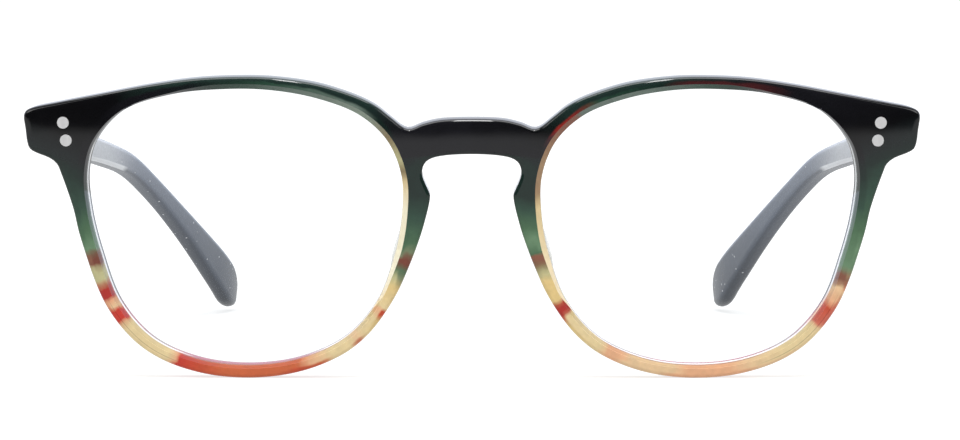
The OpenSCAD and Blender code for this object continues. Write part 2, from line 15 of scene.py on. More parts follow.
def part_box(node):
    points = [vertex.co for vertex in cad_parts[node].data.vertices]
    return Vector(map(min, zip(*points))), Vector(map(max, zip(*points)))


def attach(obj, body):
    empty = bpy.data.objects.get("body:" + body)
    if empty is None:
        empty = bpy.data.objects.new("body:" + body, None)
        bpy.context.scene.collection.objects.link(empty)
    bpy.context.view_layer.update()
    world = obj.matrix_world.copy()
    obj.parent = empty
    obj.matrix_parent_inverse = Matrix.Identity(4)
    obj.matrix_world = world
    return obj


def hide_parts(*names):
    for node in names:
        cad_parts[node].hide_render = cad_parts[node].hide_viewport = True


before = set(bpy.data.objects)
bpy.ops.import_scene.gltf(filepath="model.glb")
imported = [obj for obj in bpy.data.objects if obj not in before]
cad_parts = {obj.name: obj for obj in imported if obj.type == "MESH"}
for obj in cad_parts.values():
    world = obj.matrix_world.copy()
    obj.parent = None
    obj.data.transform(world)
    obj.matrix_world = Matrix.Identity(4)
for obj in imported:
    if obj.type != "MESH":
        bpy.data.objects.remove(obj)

log = logging.getLogger("eyeglasses")
MM = 0.001
WHITE = (1, 1, 1, 1)
ACETATE_IOR = 1.47
Colour = tuple[int, int, int]
Span = tuple[float, float]


class Side(Enum):
    """The wearer's sides. The value is the sign of X."""

    LEFT = 1
    RIGHT = -1


class Paint(Enum):
    """Colours of the acetate as they look under plain light."""

    BLACK = (14, 14, 16)
    CHARCOAL = (24, 24, 28)
    SLATE = (24, 30, 31)
    DEEP_GREEN = (32, 48, 44)
    PINE = (24, 40, 35)
    FOREST = (44, 72, 58)
    GREEN = (72, 106, 76)
    SAGE = (104, 137, 104)
    MOSS = (118, 130, 98)
    GREY_GREEN = (104, 120, 110)
    PALE_GREEN = (138, 152, 136)
    BROWN = (134, 84, 64)
    BRICK = (118, 62, 46)
    TAN = (164, 132, 98)
    OLIVE = (136, 118, 82)
    LIGHT_OLIVE = (194, 189, 140)
    GOLD = (228, 199, 134)
    CREAM = (232, 209, 158)
    PALE_CREAM = (242, 222, 180)
    IVORY = (250, 242, 212)
    SHELL = (250, 241, 240)
    SAND = (234, 199, 154)
    PEACH = (235, 178, 136)
    ORANGE = (208, 128, 94)
    TERRACOTTA = (208, 102, 58)
    RUST = (200, 74, 42)
    CORAL = (207, 104, 84)
    RED = (204, 54, 38)
    DARK_RED = (178, 42, 32)
    WINE = (70, 32, 34)
    BLUSH = (112, 44, 40)
    BRAMBLE = (142, 42, 36)
    MIST = (244, 247, 250)
    STEEL = (18, 21, 26)
    ROSE = (168, 78, 96)
    DUSK = (150, 140, 138)


def linear(colour: Colour) -> tuple[float, float, float, float]:
    """Turns a display colour into the renderer's.

    Args:
        colour: Red, green and blue from 0 to 255.

    Returns:
        The linear colour with alpha 1.
    """
    c = [v / 255 for v in colour]
    r = [v / 12.92 if v <= 0.04045 else ((v + 0.055) / 1.055) ** 2.4 for v in c]
    return (r[0], r[1], r[2], 1.0)


def unit(v: np.ndarray) -> np.ndarray:
    """Gives a vector length one."""
    return v / np.linalg.norm(v)


def smooth(p0: np.ndarray, p1: np.ndarray, p2: np.ndarray, p3: np.ndarray, u: float) -> np.ndarray:
    """Point of a smooth curve between the middle two of four points.

    Args:
        p0: The point before.
        p1: The point where u is 0.
        p2: The point where u is 1.
        p3: The point after.
        u: Place between the middle two.

    Returns:
        The point.
    """
    t1 = math.sqrt(np.linalg.norm(p1 - p0))
    t2 = t1 + math.sqrt(np.linalg.norm(p2 - p1))
    t3 = t2 + math.sqrt(np.linalg.norm(p3 - p2))
    t = t1 + u * (t2 - t1)
    a1 = p0 * (t1 - t) / t1 + p1 * t / t1
    a2 = p1 * (t2 - t) / (t2 - t1) + p2 * (t - t1) / (t2 - t1)
    a3 = p2 * (t3 - t) / (t3 - t2) + p3 * (t - t2) / (t3 - t2)
    b1 = a1 * (t2 - t) / t2 + a2 * t / t2
    b2 = a2 * (t3 - t) / (t3 - t1) + a3 * (t - t1) / (t3 - t1)
    return b1 * (t2 - t) / (t2 - t1) + b2 * (t - t1) / (t2 - t1)


@dataclass(frozen=True)
class FrontSizes:
    """Sizes of the front in millimetres, as in the part's source."""

    lens_w: float = 50.8
    lens_h: float = 44.8
    bridge_w: float = 20.1
    lens_t: float = 1.9
    front_w: float = 139.8
    front_t: float = 4.2
    rim_w: float = 1.3
    brow_w: float = 1.3
    temple_flare: float = 0.5
    nose_flare: float = 1.75
    endpiece_h: float = 7.7
    endpiece_drop: float = 11.8
    bridge_h: float = 5.5
    bridge_drop: float = 5.25
    groove_d: float = 0.6
    bevel_w: float = 0.85
    bevel_d: float = 1.0
    edge_r: float = 0.6
    wrap_r: float = 320
    dish_r: float = 400
    lean: float = 5
    wrap_flat: float = 22
    wrap_knee: float = 12
    back_chamfer: float = 0.5

    @property
    def lens_in(self) -> float:
        """X of a lens's nose side."""
        return self.bridge_w / 2

    @property
    def lens_out(self) -> float:
        """X of a lens's outer side."""
        return self.lens_in + self.lens_w

    @property
    def lens_top(self) -> float:
        """Z of a lens's top before the lean."""
        return self.rim_w + self.lens_h

    @property
    def mid_z(self) -> float:
        """Z of a lens's middle before the lean."""
        return self.rim_w + self.lens_h / 2


# The lens edge from its outer side over the top, as shares of the lens's width and height
LENS_DRAWN = [
    (0.999, 0.693), (0.971, 0.807), (0.877, 0.919), (0.72, 0.979), (0.559, 0.998), (0.416, 0.995),
    (0.268, 0.965), (0.137, 0.906), (0.049, 0.812), (0.005, 0.686), (0.004, 0.537), (0.031, 0.381),
    (0.082, 0.233), (0.181, 0.104), (0.326, 0.026), (0.492, 0), (0.658, 0.022), (0.799, 0.094),
    (0.901, 0.226), (0.958, 0.399), (0.991, 0.556),
]
# Knots of the front's outline as shares of the sizes that they hang on, each with its place on the lens edge
BRIDGE_KNOTS = [(0, 1, 8.35), (0.498, 0.964, 8.18), (0.756, 0.855, 8.05), (0.985, 0.718, 7.9)]
BROW_KNOTS = [
    (7.59, 1.68), (7.24, 1.59), (6.91, 1.44), (6.42, 1.29), (5.82, 1.22), (4.95, 1.06),
    (4.2, 1), (3.41, 1.01), (2.61, 1.27), (1.81, 2.75),
]
ENDPIECE_KNOTS = [
    (0.403, 1.149, 1.4), (0.856, 1.032, 1.1), (0.956, 0.974, 1), (1, 0.883, 0.9),
    (0.972, 0.584, 0.6), (0.945, 0.325, 0.3), (0.901, 0.195, 0.2), (0.79, 0.117, 0.1),
    (0.558, 0.013, -0.02), (0.431, -0.104, -0.15), (0.359, -0.299, -0.35),
]
FLARE = [
    (-11.5, 1.3), (-11, 1), (-10.5, 0.65), (-10, 0.39), (-9.5, 0.17), (-9, 0),
    (-3, 0), (-2.3, 0.33), (-1.6, 0.6), (-0.8, 1.05),
]
KEYHOLE_KNOTS = [
    (0.641, -1.182, -11.5), (0.662, -1.027, -11.65), (0.716, -0.809, -11.8), (0.761, -0.555, -12),
    (0.751, -0.355, -12.1), (0.701, -0.209, -12.2), (0.607, -0.109, -12.25), (0.408, -0.036, -12.35),
    (0, 0, -12.45),
]
# Share of the bevel's full width by place on the lens edge
BEVEL_SHARES = [(-10.3, 1), (-9.5, 0.5), (-3, 0.35), (-2.4, 0.2), (2.2, 0.2), (3, 0.4), (3.8, 1)]


class Sheet:
    """The wrapped, dished and leaning sheet that the front and the lenses lie in."""

    NEAR = 0.05

    def __init__(self, sizes: FrontSizes) -> None:
        """Takes the sizes and works out the lens edge.

        Args:
            sizes: Sizes of the front.
        """
        self.s = sizes
        self.knots = [
            np.array((sizes.lens_in + x * sizes.lens_w, sizes.rim_w + z * sizes.lens_h))
            for x, z in LENS_DRAWN
        ]
        self.down = 0.0
        low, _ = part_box("front")
        self.front_y = low.y / MM
        self.shift_y = 0.0

    def edge(self, t: float) -> np.ndarray:
        """Point of the lens edge.

        Args:
            t: Place, counted in knots from the outer side.

        Returns:
            X and Z in the flat sheet.
        """
        i, n = math.floor(t), len(self.knots)
        k = [self.knots[(i + j) % n] for j in (-1, 0, 1, 2)]
        return smooth(*k, t - i)

    def out(self, t: float) -> np.ndarray:
        """Unit direction out of the lens in X and Z, at a place on its edge."""
        v = unit(self.edge(t + self.NEAR) - self.edge(t - self.NEAR))
        return np.array((v[1], -v[0]))

    def bend(self, x: float, z: float, d: float) -> np.ndarray:
        """Point of the bent sheet.

        Args:
            x: X in the flat sheet.
            z: Z in the flat sheet.
            d: Depth behind the face.

        Returns:
            The point in millimetres.
        """
        s = self.s
        knee = (s.wrap_knee - s.wrap_flat) / s.wrap_r
        if x < s.wrap_knee:
            slope, y = knee * x / s.wrap_knee, knee * x * x / (2 * s.wrap_knee)
        else:
            slope = (x - s.wrap_flat) / s.wrap_r
            past = (x - s.wrap_flat) ** 2 - (s.wrap_knee - s.wrap_flat) ** 2
            y = knee * s.wrap_knee / 2 + past / (2 * s.wrap_r)
        a, lean = math.atan(slope), math.radians(s.lean)
        y += (z - s.mid_z) ** 2 / (2 * s.dish_r) + d * math.cos(a)
        c, q = math.cos(lean), math.sin(lean)
        return np.array((x - d * math.sin(a), y * c - z * q + self.shift_y, z * c + y * q - self.down))


@dataclass
class Front:
    """The acetate front, with its grain written on the mesh for the banded material."""

    sheet: Sheet
    step: float = 0.8
    rim_knots: int = 21
    rim_from: float = -0.9
    rim_every: float = 0.5
    nose_from: float = -7
    arc_steps: int = 5
    bevel_shares: tuple = (0.0, 0.08, 0.5, 0.92, 1.0)
    face_shares: tuple = (0.06, 0.18, 0.34, 0.5, 0.66, 0.82, 0.94)
    back_share: float = 0.1
    # Depths where the back's colours end and the face's begin on the outer edge, as shares of the thickness
    turn: Span = (0.72, 0.68)
    bridge_steps: int = 8
    axis_slack: float = 1e-6
    weld_at: float = 2e-6
    sharp: float = 38

    def outline(self) -> list[np.ndarray]:
        """Knots of one half of the outline.

        Returns:
            Points of X, Z and place on the lens edge.
        """
        s, sh = self.sheet.s, self.sheet
        low = s.lens_top - s.bridge_drop - s.bridge_h
        end_low, end_w = s.lens_top - s.endpiece_drop, s.front_w / 2 - s.lens_out

        def rim(t: float, w: float) -> np.ndarray:
            """Knot at a place on the lens edge, a width outside it."""
            p = sh.edge(t) + w * sh.out(t)
            return np.array((p[0], p[1], t))

        knots = [np.array((a * s.lens_in, low + b * s.bridge_h, t)) for a, b, t in BRIDGE_KNOTS]
        knots += [rim(t, w * s.brow_w) for t, w in BROW_KNOTS]
        knots += [
            np.array((s.lens_out + a * end_w, end_low + b * s.endpiece_h, t))
            for a, b, t in ENDPIECE_KNOTS
        ]
        for i in range(self.rim_knots):
            t = self.rim_from - self.rim_every * i
            flare = s.nose_flare if t < self.nose_from else s.temple_flare
            knots.append(rim(t, s.rim_w + float(np.interp(t, *zip(*FLARE))) * flare))
        knots += [np.array((a * s.lens_in, low + b * s.bridge_h, t)) for a, b, t in KEYHOLE_KNOTS]
        return knots

    def stations(self) -> list[np.ndarray]:
        """The outline in short steps.

        Returns:
            Points of X, Z and place on the lens edge.
        """
        k = self.outline()
        flip = np.array((-1, 1, 1))
        before, after = k[1] * flip, k[-2] * flip
        line = [before, *k, after]
        done = []
        for i in range(1, len(line) - 2):
            p0, p1, p2, p3 = line[i - 1 : i + 3]
            n = max(1, math.ceil(np.linalg.norm((p2 - p1)[:2]) / self.step))
            for j in range(n):
                q = smooth(p0[:2], p1[:2], p2[:2], p3[:2], j / n)
                done.append(np.array((q[0], q[1], p1[2] + (p2[2] - p1[2]) * j / n)))
        done.append(k[-1])
        return done

    def section(self, o: np.ndarray, t: float, n: np.ndarray) -> list[tuple[np.ndarray, float, float]]:
        """One section through the rim.

        Args:
            o: Outline point.
            t: Place on the lens edge.
            n: Direction out of the outline.

        Returns:
            Rows of point in the flat sheet, depth and layer: 0 to 1 down the bevel, 1 to 2 through the
            opening, 3 round the back and 0 on the face and its outer edge.
        """
        s, sh = self.sheet.s, self.sheet
        m = sh.out(t)
        wall = sh.edge(t) - s.groove_d * m
        face_in = wall + float(np.interp(t, *zip(*BEVEL_SHARES))) * s.bevel_w * m
        back_in, back_out = wall + s.back_chamfer * m, o - s.edge_r * n
        rows = [(face_in + u * (wall - face_in), u * s.bevel_d, u) for u in self.bevel_shares]
        rows += [(wall, s.front_t - s.back_chamfer, 2.0)]
        rows += [
            (back_in + u * (back_out - back_in), s.front_t, 3.0)
            for u in (0, self.back_share, 1 - self.back_share)
        ]
        r = s.edge_r
        arc = [math.pi / 2 * i / self.arc_steps for i in range(self.arc_steps + 1)]
        rows += [(back_out + r * math.sin(a) * n, s.front_t - r + r * math.cos(a), 3.0) for a in arc]
        rows += [(o, s.front_t * self.turn[0], 3.0), (o, s.front_t * self.turn[1], 0.0)]
        rows += [(back_out + r * math.cos(a) * n, r * (1 - math.sin(a)), 0.0) for a in arc]
        rows += [(back_out + u * (face_in - back_out), 0.0, 0.0) for u in self.face_shares]
        return rows

    def build(self, finish: Material) -> Object:
        """Makes the mesh and puts it in place of the CAD front.

        Args:
            finish: Banded acetate.

        Returns:
            The front's object.
        """
        line, sh = self.stations(), self.sheet
        count = len(line)
        rows = []
        for i, p in enumerate(line):
            a = line[i - 1][:2] if i else line[1][:2] * (-1, 1)
            b = line[i + 1][:2] if i < count - 1 else line[-2][:2] * (-1, 1)
            v = unit(b - a)
            rows.append(self.section(p[:2], p[2], np.array((-v[1], v[0]))))
        places = [p[2] for p in line]
        # The middle of the bridge, from the keyhole's section up to the first
        for i in range(1, self.bridge_steps):
            u = i / self.bridge_steps
            pairs = zip(rows[count - 1], rows[0])
            rows.append([(a[0] + u * (b[0] - a[0]), a[1] + u * (b[1] - a[1]), a[2]) for a, b in pairs])
            places.append((places[count - 1] + len(LENS_DRAWN)) * (1 - u) + u * places[0])
        raw = [[sh.bend(q[0], q[1], d) for q, d, _ in r] for r in rows]
        sh.down += min(p[2] for r in raw for p in r)
        sh.shift_y = sh.front_y - min(p[1] for r in raw for p in r)
        points, grain = [], []
        for r, t in zip(rows, places):
            m = sh.out(t)
            e = sh.edge(t) - sh.s.groove_d * m
            for q, d, layer in r:
                x, y, z = sh.bend(q[0], q[1], d)
                points.append((max(x, 0.0), y, max(z, 0.0)))
                grain.append((t, float(np.dot(q - e, m)), layer))
        k, total = len(rows[0]), len(rows)
        half = len(points)
        verts = [(x * s * MM, y * MM, z * MM) for s in (1, -1) for x, y, z in points]
        faces, corners = [], []
        for s in (0, 1):
            for i in range(total):
                j = (i + 1) % total
                for a in range(k):
                    b = (a + 1) % k
                    q = [i * k + a, i * k + b, j * k + b, j * k + a]
                    if i >= count - 1 and all(points[c][0] < self.axis_slack for c in q):
                        continue
                    q = q if s == 0 else q[::-1]
                    faces.append([c + s * half for c in q])
                    # Past the keyhole's section the place goes on after a whole turn
                    past = [len(LENS_DRAWN) if i == count - 1 and c < count * k else 0 for c in q]
                    corners += [(grain[c][0] + t, *grain[c][1:]) for c, t in zip(q, past)]
        front = new_mesh("acetate_front", verts, faces)
        attribute = front.data.attributes.new("grain", "FLOAT_VECTOR", "CORNER")
        attribute.data.foreach_set("vector", np.array(corners, np.float32).ravel())
        skin(front, self.weld_at, self.sharp)
        finished(front, finish, "front_frame", ["front"])
        return front


def new_mesh(name: str, verts: list, faces: list) -> Object:
    """Makes an object from points and faces.

    Args:
        name: Name of the object and its mesh.
        verts: Points in metres.
        faces: Lists of point numbers.

    Returns:
        The object.
    """
    mesh = bpy.data.meshes.new(name)
    mesh.from_pydata(verts, [], faces)
    thing = bpy.data.objects.new(name, mesh)
    bpy.context.scene.collection.objects.link(thing)
    return thing


def select_only(thing: Object) -> None:
    """Makes an object the only selected and the active one.

    Args:
        thing: The object.
    """
    bpy.ops.object.select_all(action="DESELECT")
    thing.select_set(True)
    bpy.context.view_layer.objects.active = thing


def skin(thing: Object, distance: float, angle: float) -> None:
    """Merges points that lie together, turns the normals outward and shades smooth.

    Args:
        thing: The object.
        distance: Largest distance between merged points, in metres.
        angle: Edges turned by more than this many degrees stay sharp.
    """
    select_only(thing)
    bpy.ops.object.mode_set(mode="EDIT")
    bpy.ops.mesh.select_all(action="SELECT")
    bpy.ops.mesh.remove_doubles(threshold=distance)
    bpy.ops.mesh.normals_make_consistent(inside=False)
    bpy.ops.object.mode_set(mode="OBJECT")
    bpy.ops.object.shade_smooth_by_angle(angle=math.radians(angle))


def finished(thing: Object, finish: Material, body: str, nodes: list[str]) -> None:
    """Gives a piece its finish, body and slot, and hides the CAD nodes that it stands for.

    Args:
        thing: The piece.
        finish: Its material.
        body: CAD body that it moves with.
        nodes: CAD nodes that it replaces.
    """
    thing.data.materials.clear()
    thing.data.materials.append(finish)
    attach(thing, body)
    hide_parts(*nodes)


@dataclass
class Lens:
    """A clear lens, set a little into the rim's wall."""

    sheet: Sheet
    side: Side
    turns: int = 126
    shares: tuple = (0.98, 0.86, 0.78, 0.68, 0.5)
    set_in: float = 0.05
    weld_at: float = 1e-7
    sharp: float = 30

    def build(self, finish: Material) -> Object:
        """Makes the lens and puts it in place of the CAD lens.

        Args:
            finish: Clear coated material.

        Returns:
            The lens's object.
        """
        s, sh = self.sheet.s, self.sheet
        name = self.side.name.lower()
        bpy.ops.object.select_all(action="DESELECT")
        bpy.ops.mesh.primitive_circle_add(vertices=self.turns, radius=s.lens_w / 2 * MM)
        lens = bpy.context.object
        lens.name = lens.data.name = f"clear_lens_{name}"
        for i, v in enumerate(lens.data.vertices):
            t = i * len(LENS_DRAWN) / self.turns
            p = sh.edge(t) - (s.groove_d - self.set_in) * sh.out(t)
            v.co = Vector((p[0], p[1], 0)) * MM
        bpy.ops.object.mode_set(mode="EDIT")
        bpy.ops.mesh.select_all(action="SELECT")
        middle = (s.lens_in * MM + s.lens_w / 2 * MM, s.mid_z * MM, 0)
        for share in self.shares:
            bpy.ops.mesh.extrude_edges_move()
            bpy.ops.transform.resize(value=(share, share, 1), center_override=middle)
        bpy.ops.mesh.edge_face_add()
        bpy.ops.mesh.poke()
        bpy.ops.object.mode_set(mode="OBJECT")
        for v in lens.data.vertices:
            x, y, z = sh.bend(v.co.x / MM, v.co.y / MM, s.front_t / 2)
            v.co = Vector((x * self.side.value, y, z)) * MM
        wall = lens.modifiers.new("thickness", "SOLIDIFY")
        wall.thickness, wall.offset = s.lens_t * MM, 0
        bpy.ops.object.modifier_apply(modifier=wall.name)
        skin(lens, self.weld_at, self.sharp)
        finished(lens, finish, "front_frame", [f"lens_{name}"])
        return lens


# Left temple from the hinge to the tip: X, Y, Z, height and thickness at each knot, in millimetres
TEMPLE_KNOTS = [
    (66.80, 0.00, 38.62, 7.0, 4.0), (66.53, 16.32, 36.90, 5.464, 3.616),
    (65.56, 36.40, 34.74, 4.504, 3.376), (63.03, 55.22, 32.51, 4.056, 3.264),
    (60.04, 71.54, 29.63, 3.8, 3.2), (56.77, 85.34, 24.58, 3.848, 3.198),
    (53.78, 96.01, 19.57, 4.448, 3.173), (51.27, 104.79, 15.10, 5.456, 3.131),
    (49.19, 112.32, 11.16, 6.632, 3.082), (47.64, 117.97, 8.13, 7.496, 3.046),
    (46.67, 122.36, 5.83, 8.144, 3.019), (46.20, 125.50, 4.29, 8.6, 3.0),
]


@dataclass
class Temple:
    """A temple from the hinge to its paddle."""

    side: Side
    corner_r: float = 1.1
    tip_r: float = 1.5
    tip_from: float = 6
    tip_starts: int = 6
    front_rounding: float = 0.5
    seat_yaw: float = 7.372
    seat_tilt: float = 2.860
    tip_share: float = 0.5
    per_knot: int = 6
    arc: int = 6
    tip_angles: tuple = (12, 24, 36, 48, 60, 70, 79, 86)
    slack: float = 2e-6
    reach: float = 0.006
    narrowest: float = 0.25
    largest_corner: float = 0.49
    # Knots before the hinge's seat where the first section lies, and knots to look ahead and back
    before_seat: float = 0.06
    near: float = 0.02
    weld_at: float = 1e-6
    sharp: float = 40

    def at(self, t: float) -> np.ndarray:
        """Place, height and thickness along the temple.

        Args:
            t: Place, counted in knots from the hinge.

        Returns:
            X, Y, Z, height and thickness.
        """
        k = [np.array(p) * (self.side.value, 1, 1, 1, 1) for p in TEMPLE_KNOTS]
        k = [2 * k[0] - k[1], *k, 2 * k[-1] - k[-2]]
        i = min(max(math.floor(t), 0), len(k) - 4)
        return smooth(*k[i : i + 4], t - i)

    def ring(self, t: float, ahead: float, size: float) -> tuple[Vector, Vector]:
        """Adds one section of the temple: a plane with rounded corners, left as an open loop.

        Args:
            t: Place along the temple.
            ahead: Distance to move the section on.
            size: Share of its full height.

        Returns:
            The section's middle and the way the temple runs there.
        """
        v = self.at(t)
        a = unit(self.at(t + self.near)[:3] - self.at(t - self.near)[:3])
        inward = unit(np.cross((0, 0, 1), a))
        turn = Matrix(np.array((inward, np.cross(a, inward), a)).T.tolist())
        place = Vector(v[:3] + ahead * a) * MM
        h, w = v[3] * size, v[4] * (self.narrowest + (1 - self.narrowest) * size)
        last = len(TEMPLE_KNOTS) - 1
        r = self.corner_r * min(1, self.front_rounding + max(t, 0) / last)
        r += (self.tip_r - self.corner_r) * max(0, t - self.tip_from) / (last - self.tip_from)
        r = min(r, self.largest_corner * min(h, w))
        bpy.ops.mesh.select_all(action="DESELECT")
        bpy.ops.mesh.primitive_plane_add(size=MM, location=place, rotation=turn.to_euler())
        bpy.ops.transform.resize(
            value=(w, h, 1), orient_type="GLOBAL", orient_matrix=turn, orient_matrix_type="GLOBAL",
            center_override=place,
        )
        bpy.ops.mesh.bevel(offset=r * MM, segments=self.arc, affect="VERTICES")
        bpy.ops.mesh.delete(type="ONLY_FACE")
        return place, Vector(a)

    def join(self, rings: list[tuple[Vector, Vector]], mesh: Mesh) -> None:
        """Bridges each open loop to the next and closes the last.

        Args:
            rings: Middle and direction of each loop.
            mesh: The temple's mesh.
        """
        for pair in zip(rings, rings[1:]):
            self.choose(pair, mesh)
            bpy.ops.mesh.bridge_edge_loops()
        self.choose(rings[-1:], mesh)
        bpy.ops.mesh.edge_face_add()

    def choose(self, rings: list[tuple[Vector, Vector]], mesh: Mesh) -> None:
        """Selects the loops that lie in the planes of some sections.

        Args:
            rings: Middle and direction of each section.
            mesh: The mesh being edited.
        """
        bpy.ops.mesh.select_all(action="DESELECT")
        edited = bmesh.from_edit_mesh(mesh)
        for v in edited.verts:
            for place, way in rings:
                away = v.co - place
                if abs(away.dot(way)) < self.slack and away.length < self.reach:
                    v.select = True
        edited.select_flush(True)
        bmesh.update_edit_mesh(mesh)

    def build(self, finish: Material) -> Object:
        """Makes the temple and puts it in place of the CAD temple.

        Args:
            finish: Satin acetate.

        Returns:
            The temple's object.
        """
        name, last = self.side.name.lower(), len(TEMPLE_KNOTS) - 1
        temple = new_mesh(f"satin_temple_{name}", [], [])
        select_only(temple)
        bpy.ops.object.mode_set(mode="EDIT")
        rings = [self.ring(-self.before_seat, 0, 1)]
        steps = last * self.per_knot - self.tip_starts
        rings += [self.ring(i / self.per_knot, 0, 1) for i in range(1, steps + 1)]
        start = steps / self.per_knot
        cap = TEMPLE_KNOTS[-1][3] * self.tip_share
        cap += float(np.linalg.norm(self.at(last)[:3] - self.at(start)[:3]))
        for angle in self.tip_angles:
            a = math.radians(angle)
            rings.append(self.ring(start, cap * math.sin(a), math.cos(a)))
        self.join(rings, temple.data)
        # The tip reaches as far back as the solid's
        back = max(v.co.y for v in bmesh.from_edit_mesh(temple.data).verts)
        shift = Vector((0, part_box(f"temple_{name}")[1].y - back, 0))
        bpy.ops.mesh.select_all(action="SELECT")
        bpy.ops.transform.translate(value=shift)
        # The front end is cut off along the hinge's seat
        yaw, tilt = math.radians(self.seat_yaw), math.radians(self.seat_tilt)
        across, along = -math.sin(yaw) * self.side.value, math.cos(yaw)
        cut = Vector((across, along * math.cos(tilt), along * math.sin(tilt)))
        seat = Vector(self.at(0)[:3]) * MM + shift
        bpy.ops.mesh.select_all(action="SELECT")
        bpy.ops.mesh.bisect(plane_co=seat, plane_no=cut, use_fill=True, clear_inner=True)
        bpy.ops.object.mode_set(mode="OBJECT")
        skin(temple, self.weld_at, self.sharp)
        finished(temple, finish, f"{name}_temple", [f"temple_{name}"])
        return temple


Value = NodeSocket | float | tuple
Bands = dict[float, Paint]
SPECK_CELLS = 600


class Nodes:
    """Short ways to build a material, or the surroundings, out of nodes."""

    def __init__(self, name: str, kind: str = "Material") -> None:
        """Starts a material or a world with only its output.

        Args:
            name: Its name.
            kind: Material or World.
        """
        self.owner: ID = (bpy.data.worlds if kind == "World" else bpy.data.materials).new(name)
        self.owner.use_nodes = True
        self.tree = self.owner.node_tree
        self.tree.nodes.clear()
        self.output = self.add(f"Output{kind}")

    def add(self, kind: str, **settings: object) -> Node:
        """Adds a node.

        Args:
            kind: Node type, without ShaderNode.
            **settings: Values of its inputs, with _ for a space, or of its properties.

        Returns:
            The node.
        """
        node = self.tree.nodes.new(f"ShaderNode{kind}")
        for key, value in settings.items():
            socket = key.replace("_", " ")
            if socket in node.inputs:
                self.plug(value, node.inputs[socket])
            else:
                setattr(node, key, value)
        return node

    def plug(self, source: Value, target: NodeSocket) -> None:
        """Links a value to a socket, or sets it if it is a plain number or colour.

        Args:
            source: Socket or constant.
            target: Input socket.
        """
        if isinstance(source, NodeSocket):
            self.tree.links.new(source, target)
        else:
            target.default_value = source

    def math(self, operation: str, *values: Value, clamp: bool = False) -> NodeSocket:
        """Adds a maths node.

        Args:
            operation: Its operation.
            *values: Its values.
            clamp: Keep the result between 0 and 1.

        Returns:
            The result.
        """
        node = self.add("Math", operation=operation, use_clamp=clamp)
        for value, socket in zip(values, node.inputs):
            self.plug(value, socket)
        return node.outputs[0]

    def times(self, first: Value, *others: Value) -> NodeSocket:
        """Multiplies values.

        Args:
            first: First value.
            *others: The others.

        Returns:
            Their product.
        """
        for value in others:
            first = self.math("MULTIPLY", first, value)
        return first

    def step(self, value: Value, span: Span, to: Span = (0.0, 1.0)) -> NodeSocket:
        """Goes smoothly from one number to another while a value goes through a span.

        Args:
            value: The value.
            span: Where the result is the first number and where it is the second.
            to: The two numbers.

        Returns:
            The result.
        """
        node = self.add("MapRange", interpolation_type="SMOOTHSTEP", Value=value, From_Min=span[0])
        for socket, number in zip(("From Max", "To Min", "To Max"), (span[1], *to)):
            self.plug(number, node.inputs[socket])
        return node.outputs["Result"]

    def window(self, value: Value, rise: Span, fall: Span) -> NodeSocket:
        """Rises smoothly from 0 to 1 over one span and falls again over another, given outside first."""
        return self.times(self.step(value, rise), self.step(value, fall))

    def split(self, vector: NodeSocket) -> list[NodeSocket]:
        """Splits a vector into X, Y and Z."""
        return list(self.add("SeparateXYZ", Vector=vector).outputs)

    def here(self, what: str = "Object") -> list[NodeSocket]:
        """X, Y and Z of the place on the object, or with Normal of the way that its surface faces."""
        return self.split(self.add("TexCoord").outputs[what])

    def blend(self, share: Value, a: Value, b: Value, kind: str = "MIX") -> NodeSocket:
        """Mixes two colours.

        Args:
            share: Share of the second.
            a: First colour.
            b: Second colour.
            kind: How they mix.

        Returns:
            The mixed colour.
        """
        node = self.add("Mix", data_type="RGBA", blend_type=kind)
        self.plug(share, node.inputs[0])
        self.plug(a, node.inputs[6])
        self.plug(b, node.inputs[7])
        return node.outputs[2]

    def between(self, share: Value, a: Value, b: Value) -> NodeSocket:
        """Number between two others, the first at a share of 0 and the second at 1."""
        return self.math("MULTIPLY_ADD", share, self.math("SUBTRACT", b, a), a)

    def shaded(self, colour: Value, share: Value) -> NodeSocket:
        """Darkens a colour to a share of its light."""
        grey = self.add("CombineColor", Red=share, Green=share, Blue=share)
        return self.blend(1.0, colour, grey.outputs[0], "MULTIPLY")

    def noise(self, scale: float, detail: float = 2.0, stretch: tuple = (1, 1, 1)) -> NodeSocket:
        """Adds noise on Object coordinates.

        Args:
            scale: Number of lumps a metre.
            detail: Levels of detail.
            stretch: Scale along each axis.

        Returns:
            The noise, about 0.5 on average.
        """
        place = self.add("Mapping", Vector=self.add("TexCoord").outputs["Object"], Scale=stretch)
        node = self.add("TexNoise", Vector=place.outputs["Vector"], Scale=scale, Detail=detail)
        return node.outputs["Fac"]

    def drift(self, scale: float, detail: float, width: float) -> NodeSocket:
        """Noise about zero on Object coordinates, of the given width from end to end."""
        return self.times(self.math("SUBTRACT", self.noise(scale, detail), 0.5), width)

    def specks(self, size: float, keep: float) -> NodeSocket:
        """Adds tiny scattered dots on Object coordinates.

        Args:
            size: Radius of a dot as a share of a cell.
            keep: Share of the cells without a dot.

        Returns:
            1 inside a dot, 0 outside.
        """
        cells = self.add("TexVoronoi", Vector=self.add("TexCoord").outputs["Object"], Scale=SPECK_CELLS)
        chance = self.add("SeparateColor", Color=cells.outputs["Color"]).outputs["Red"]
        dot = self.math("LESS_THAN", cells.outputs["Distance"], size)
        return self.times(dot, self.math("GREATER_THAN", chance, keep))

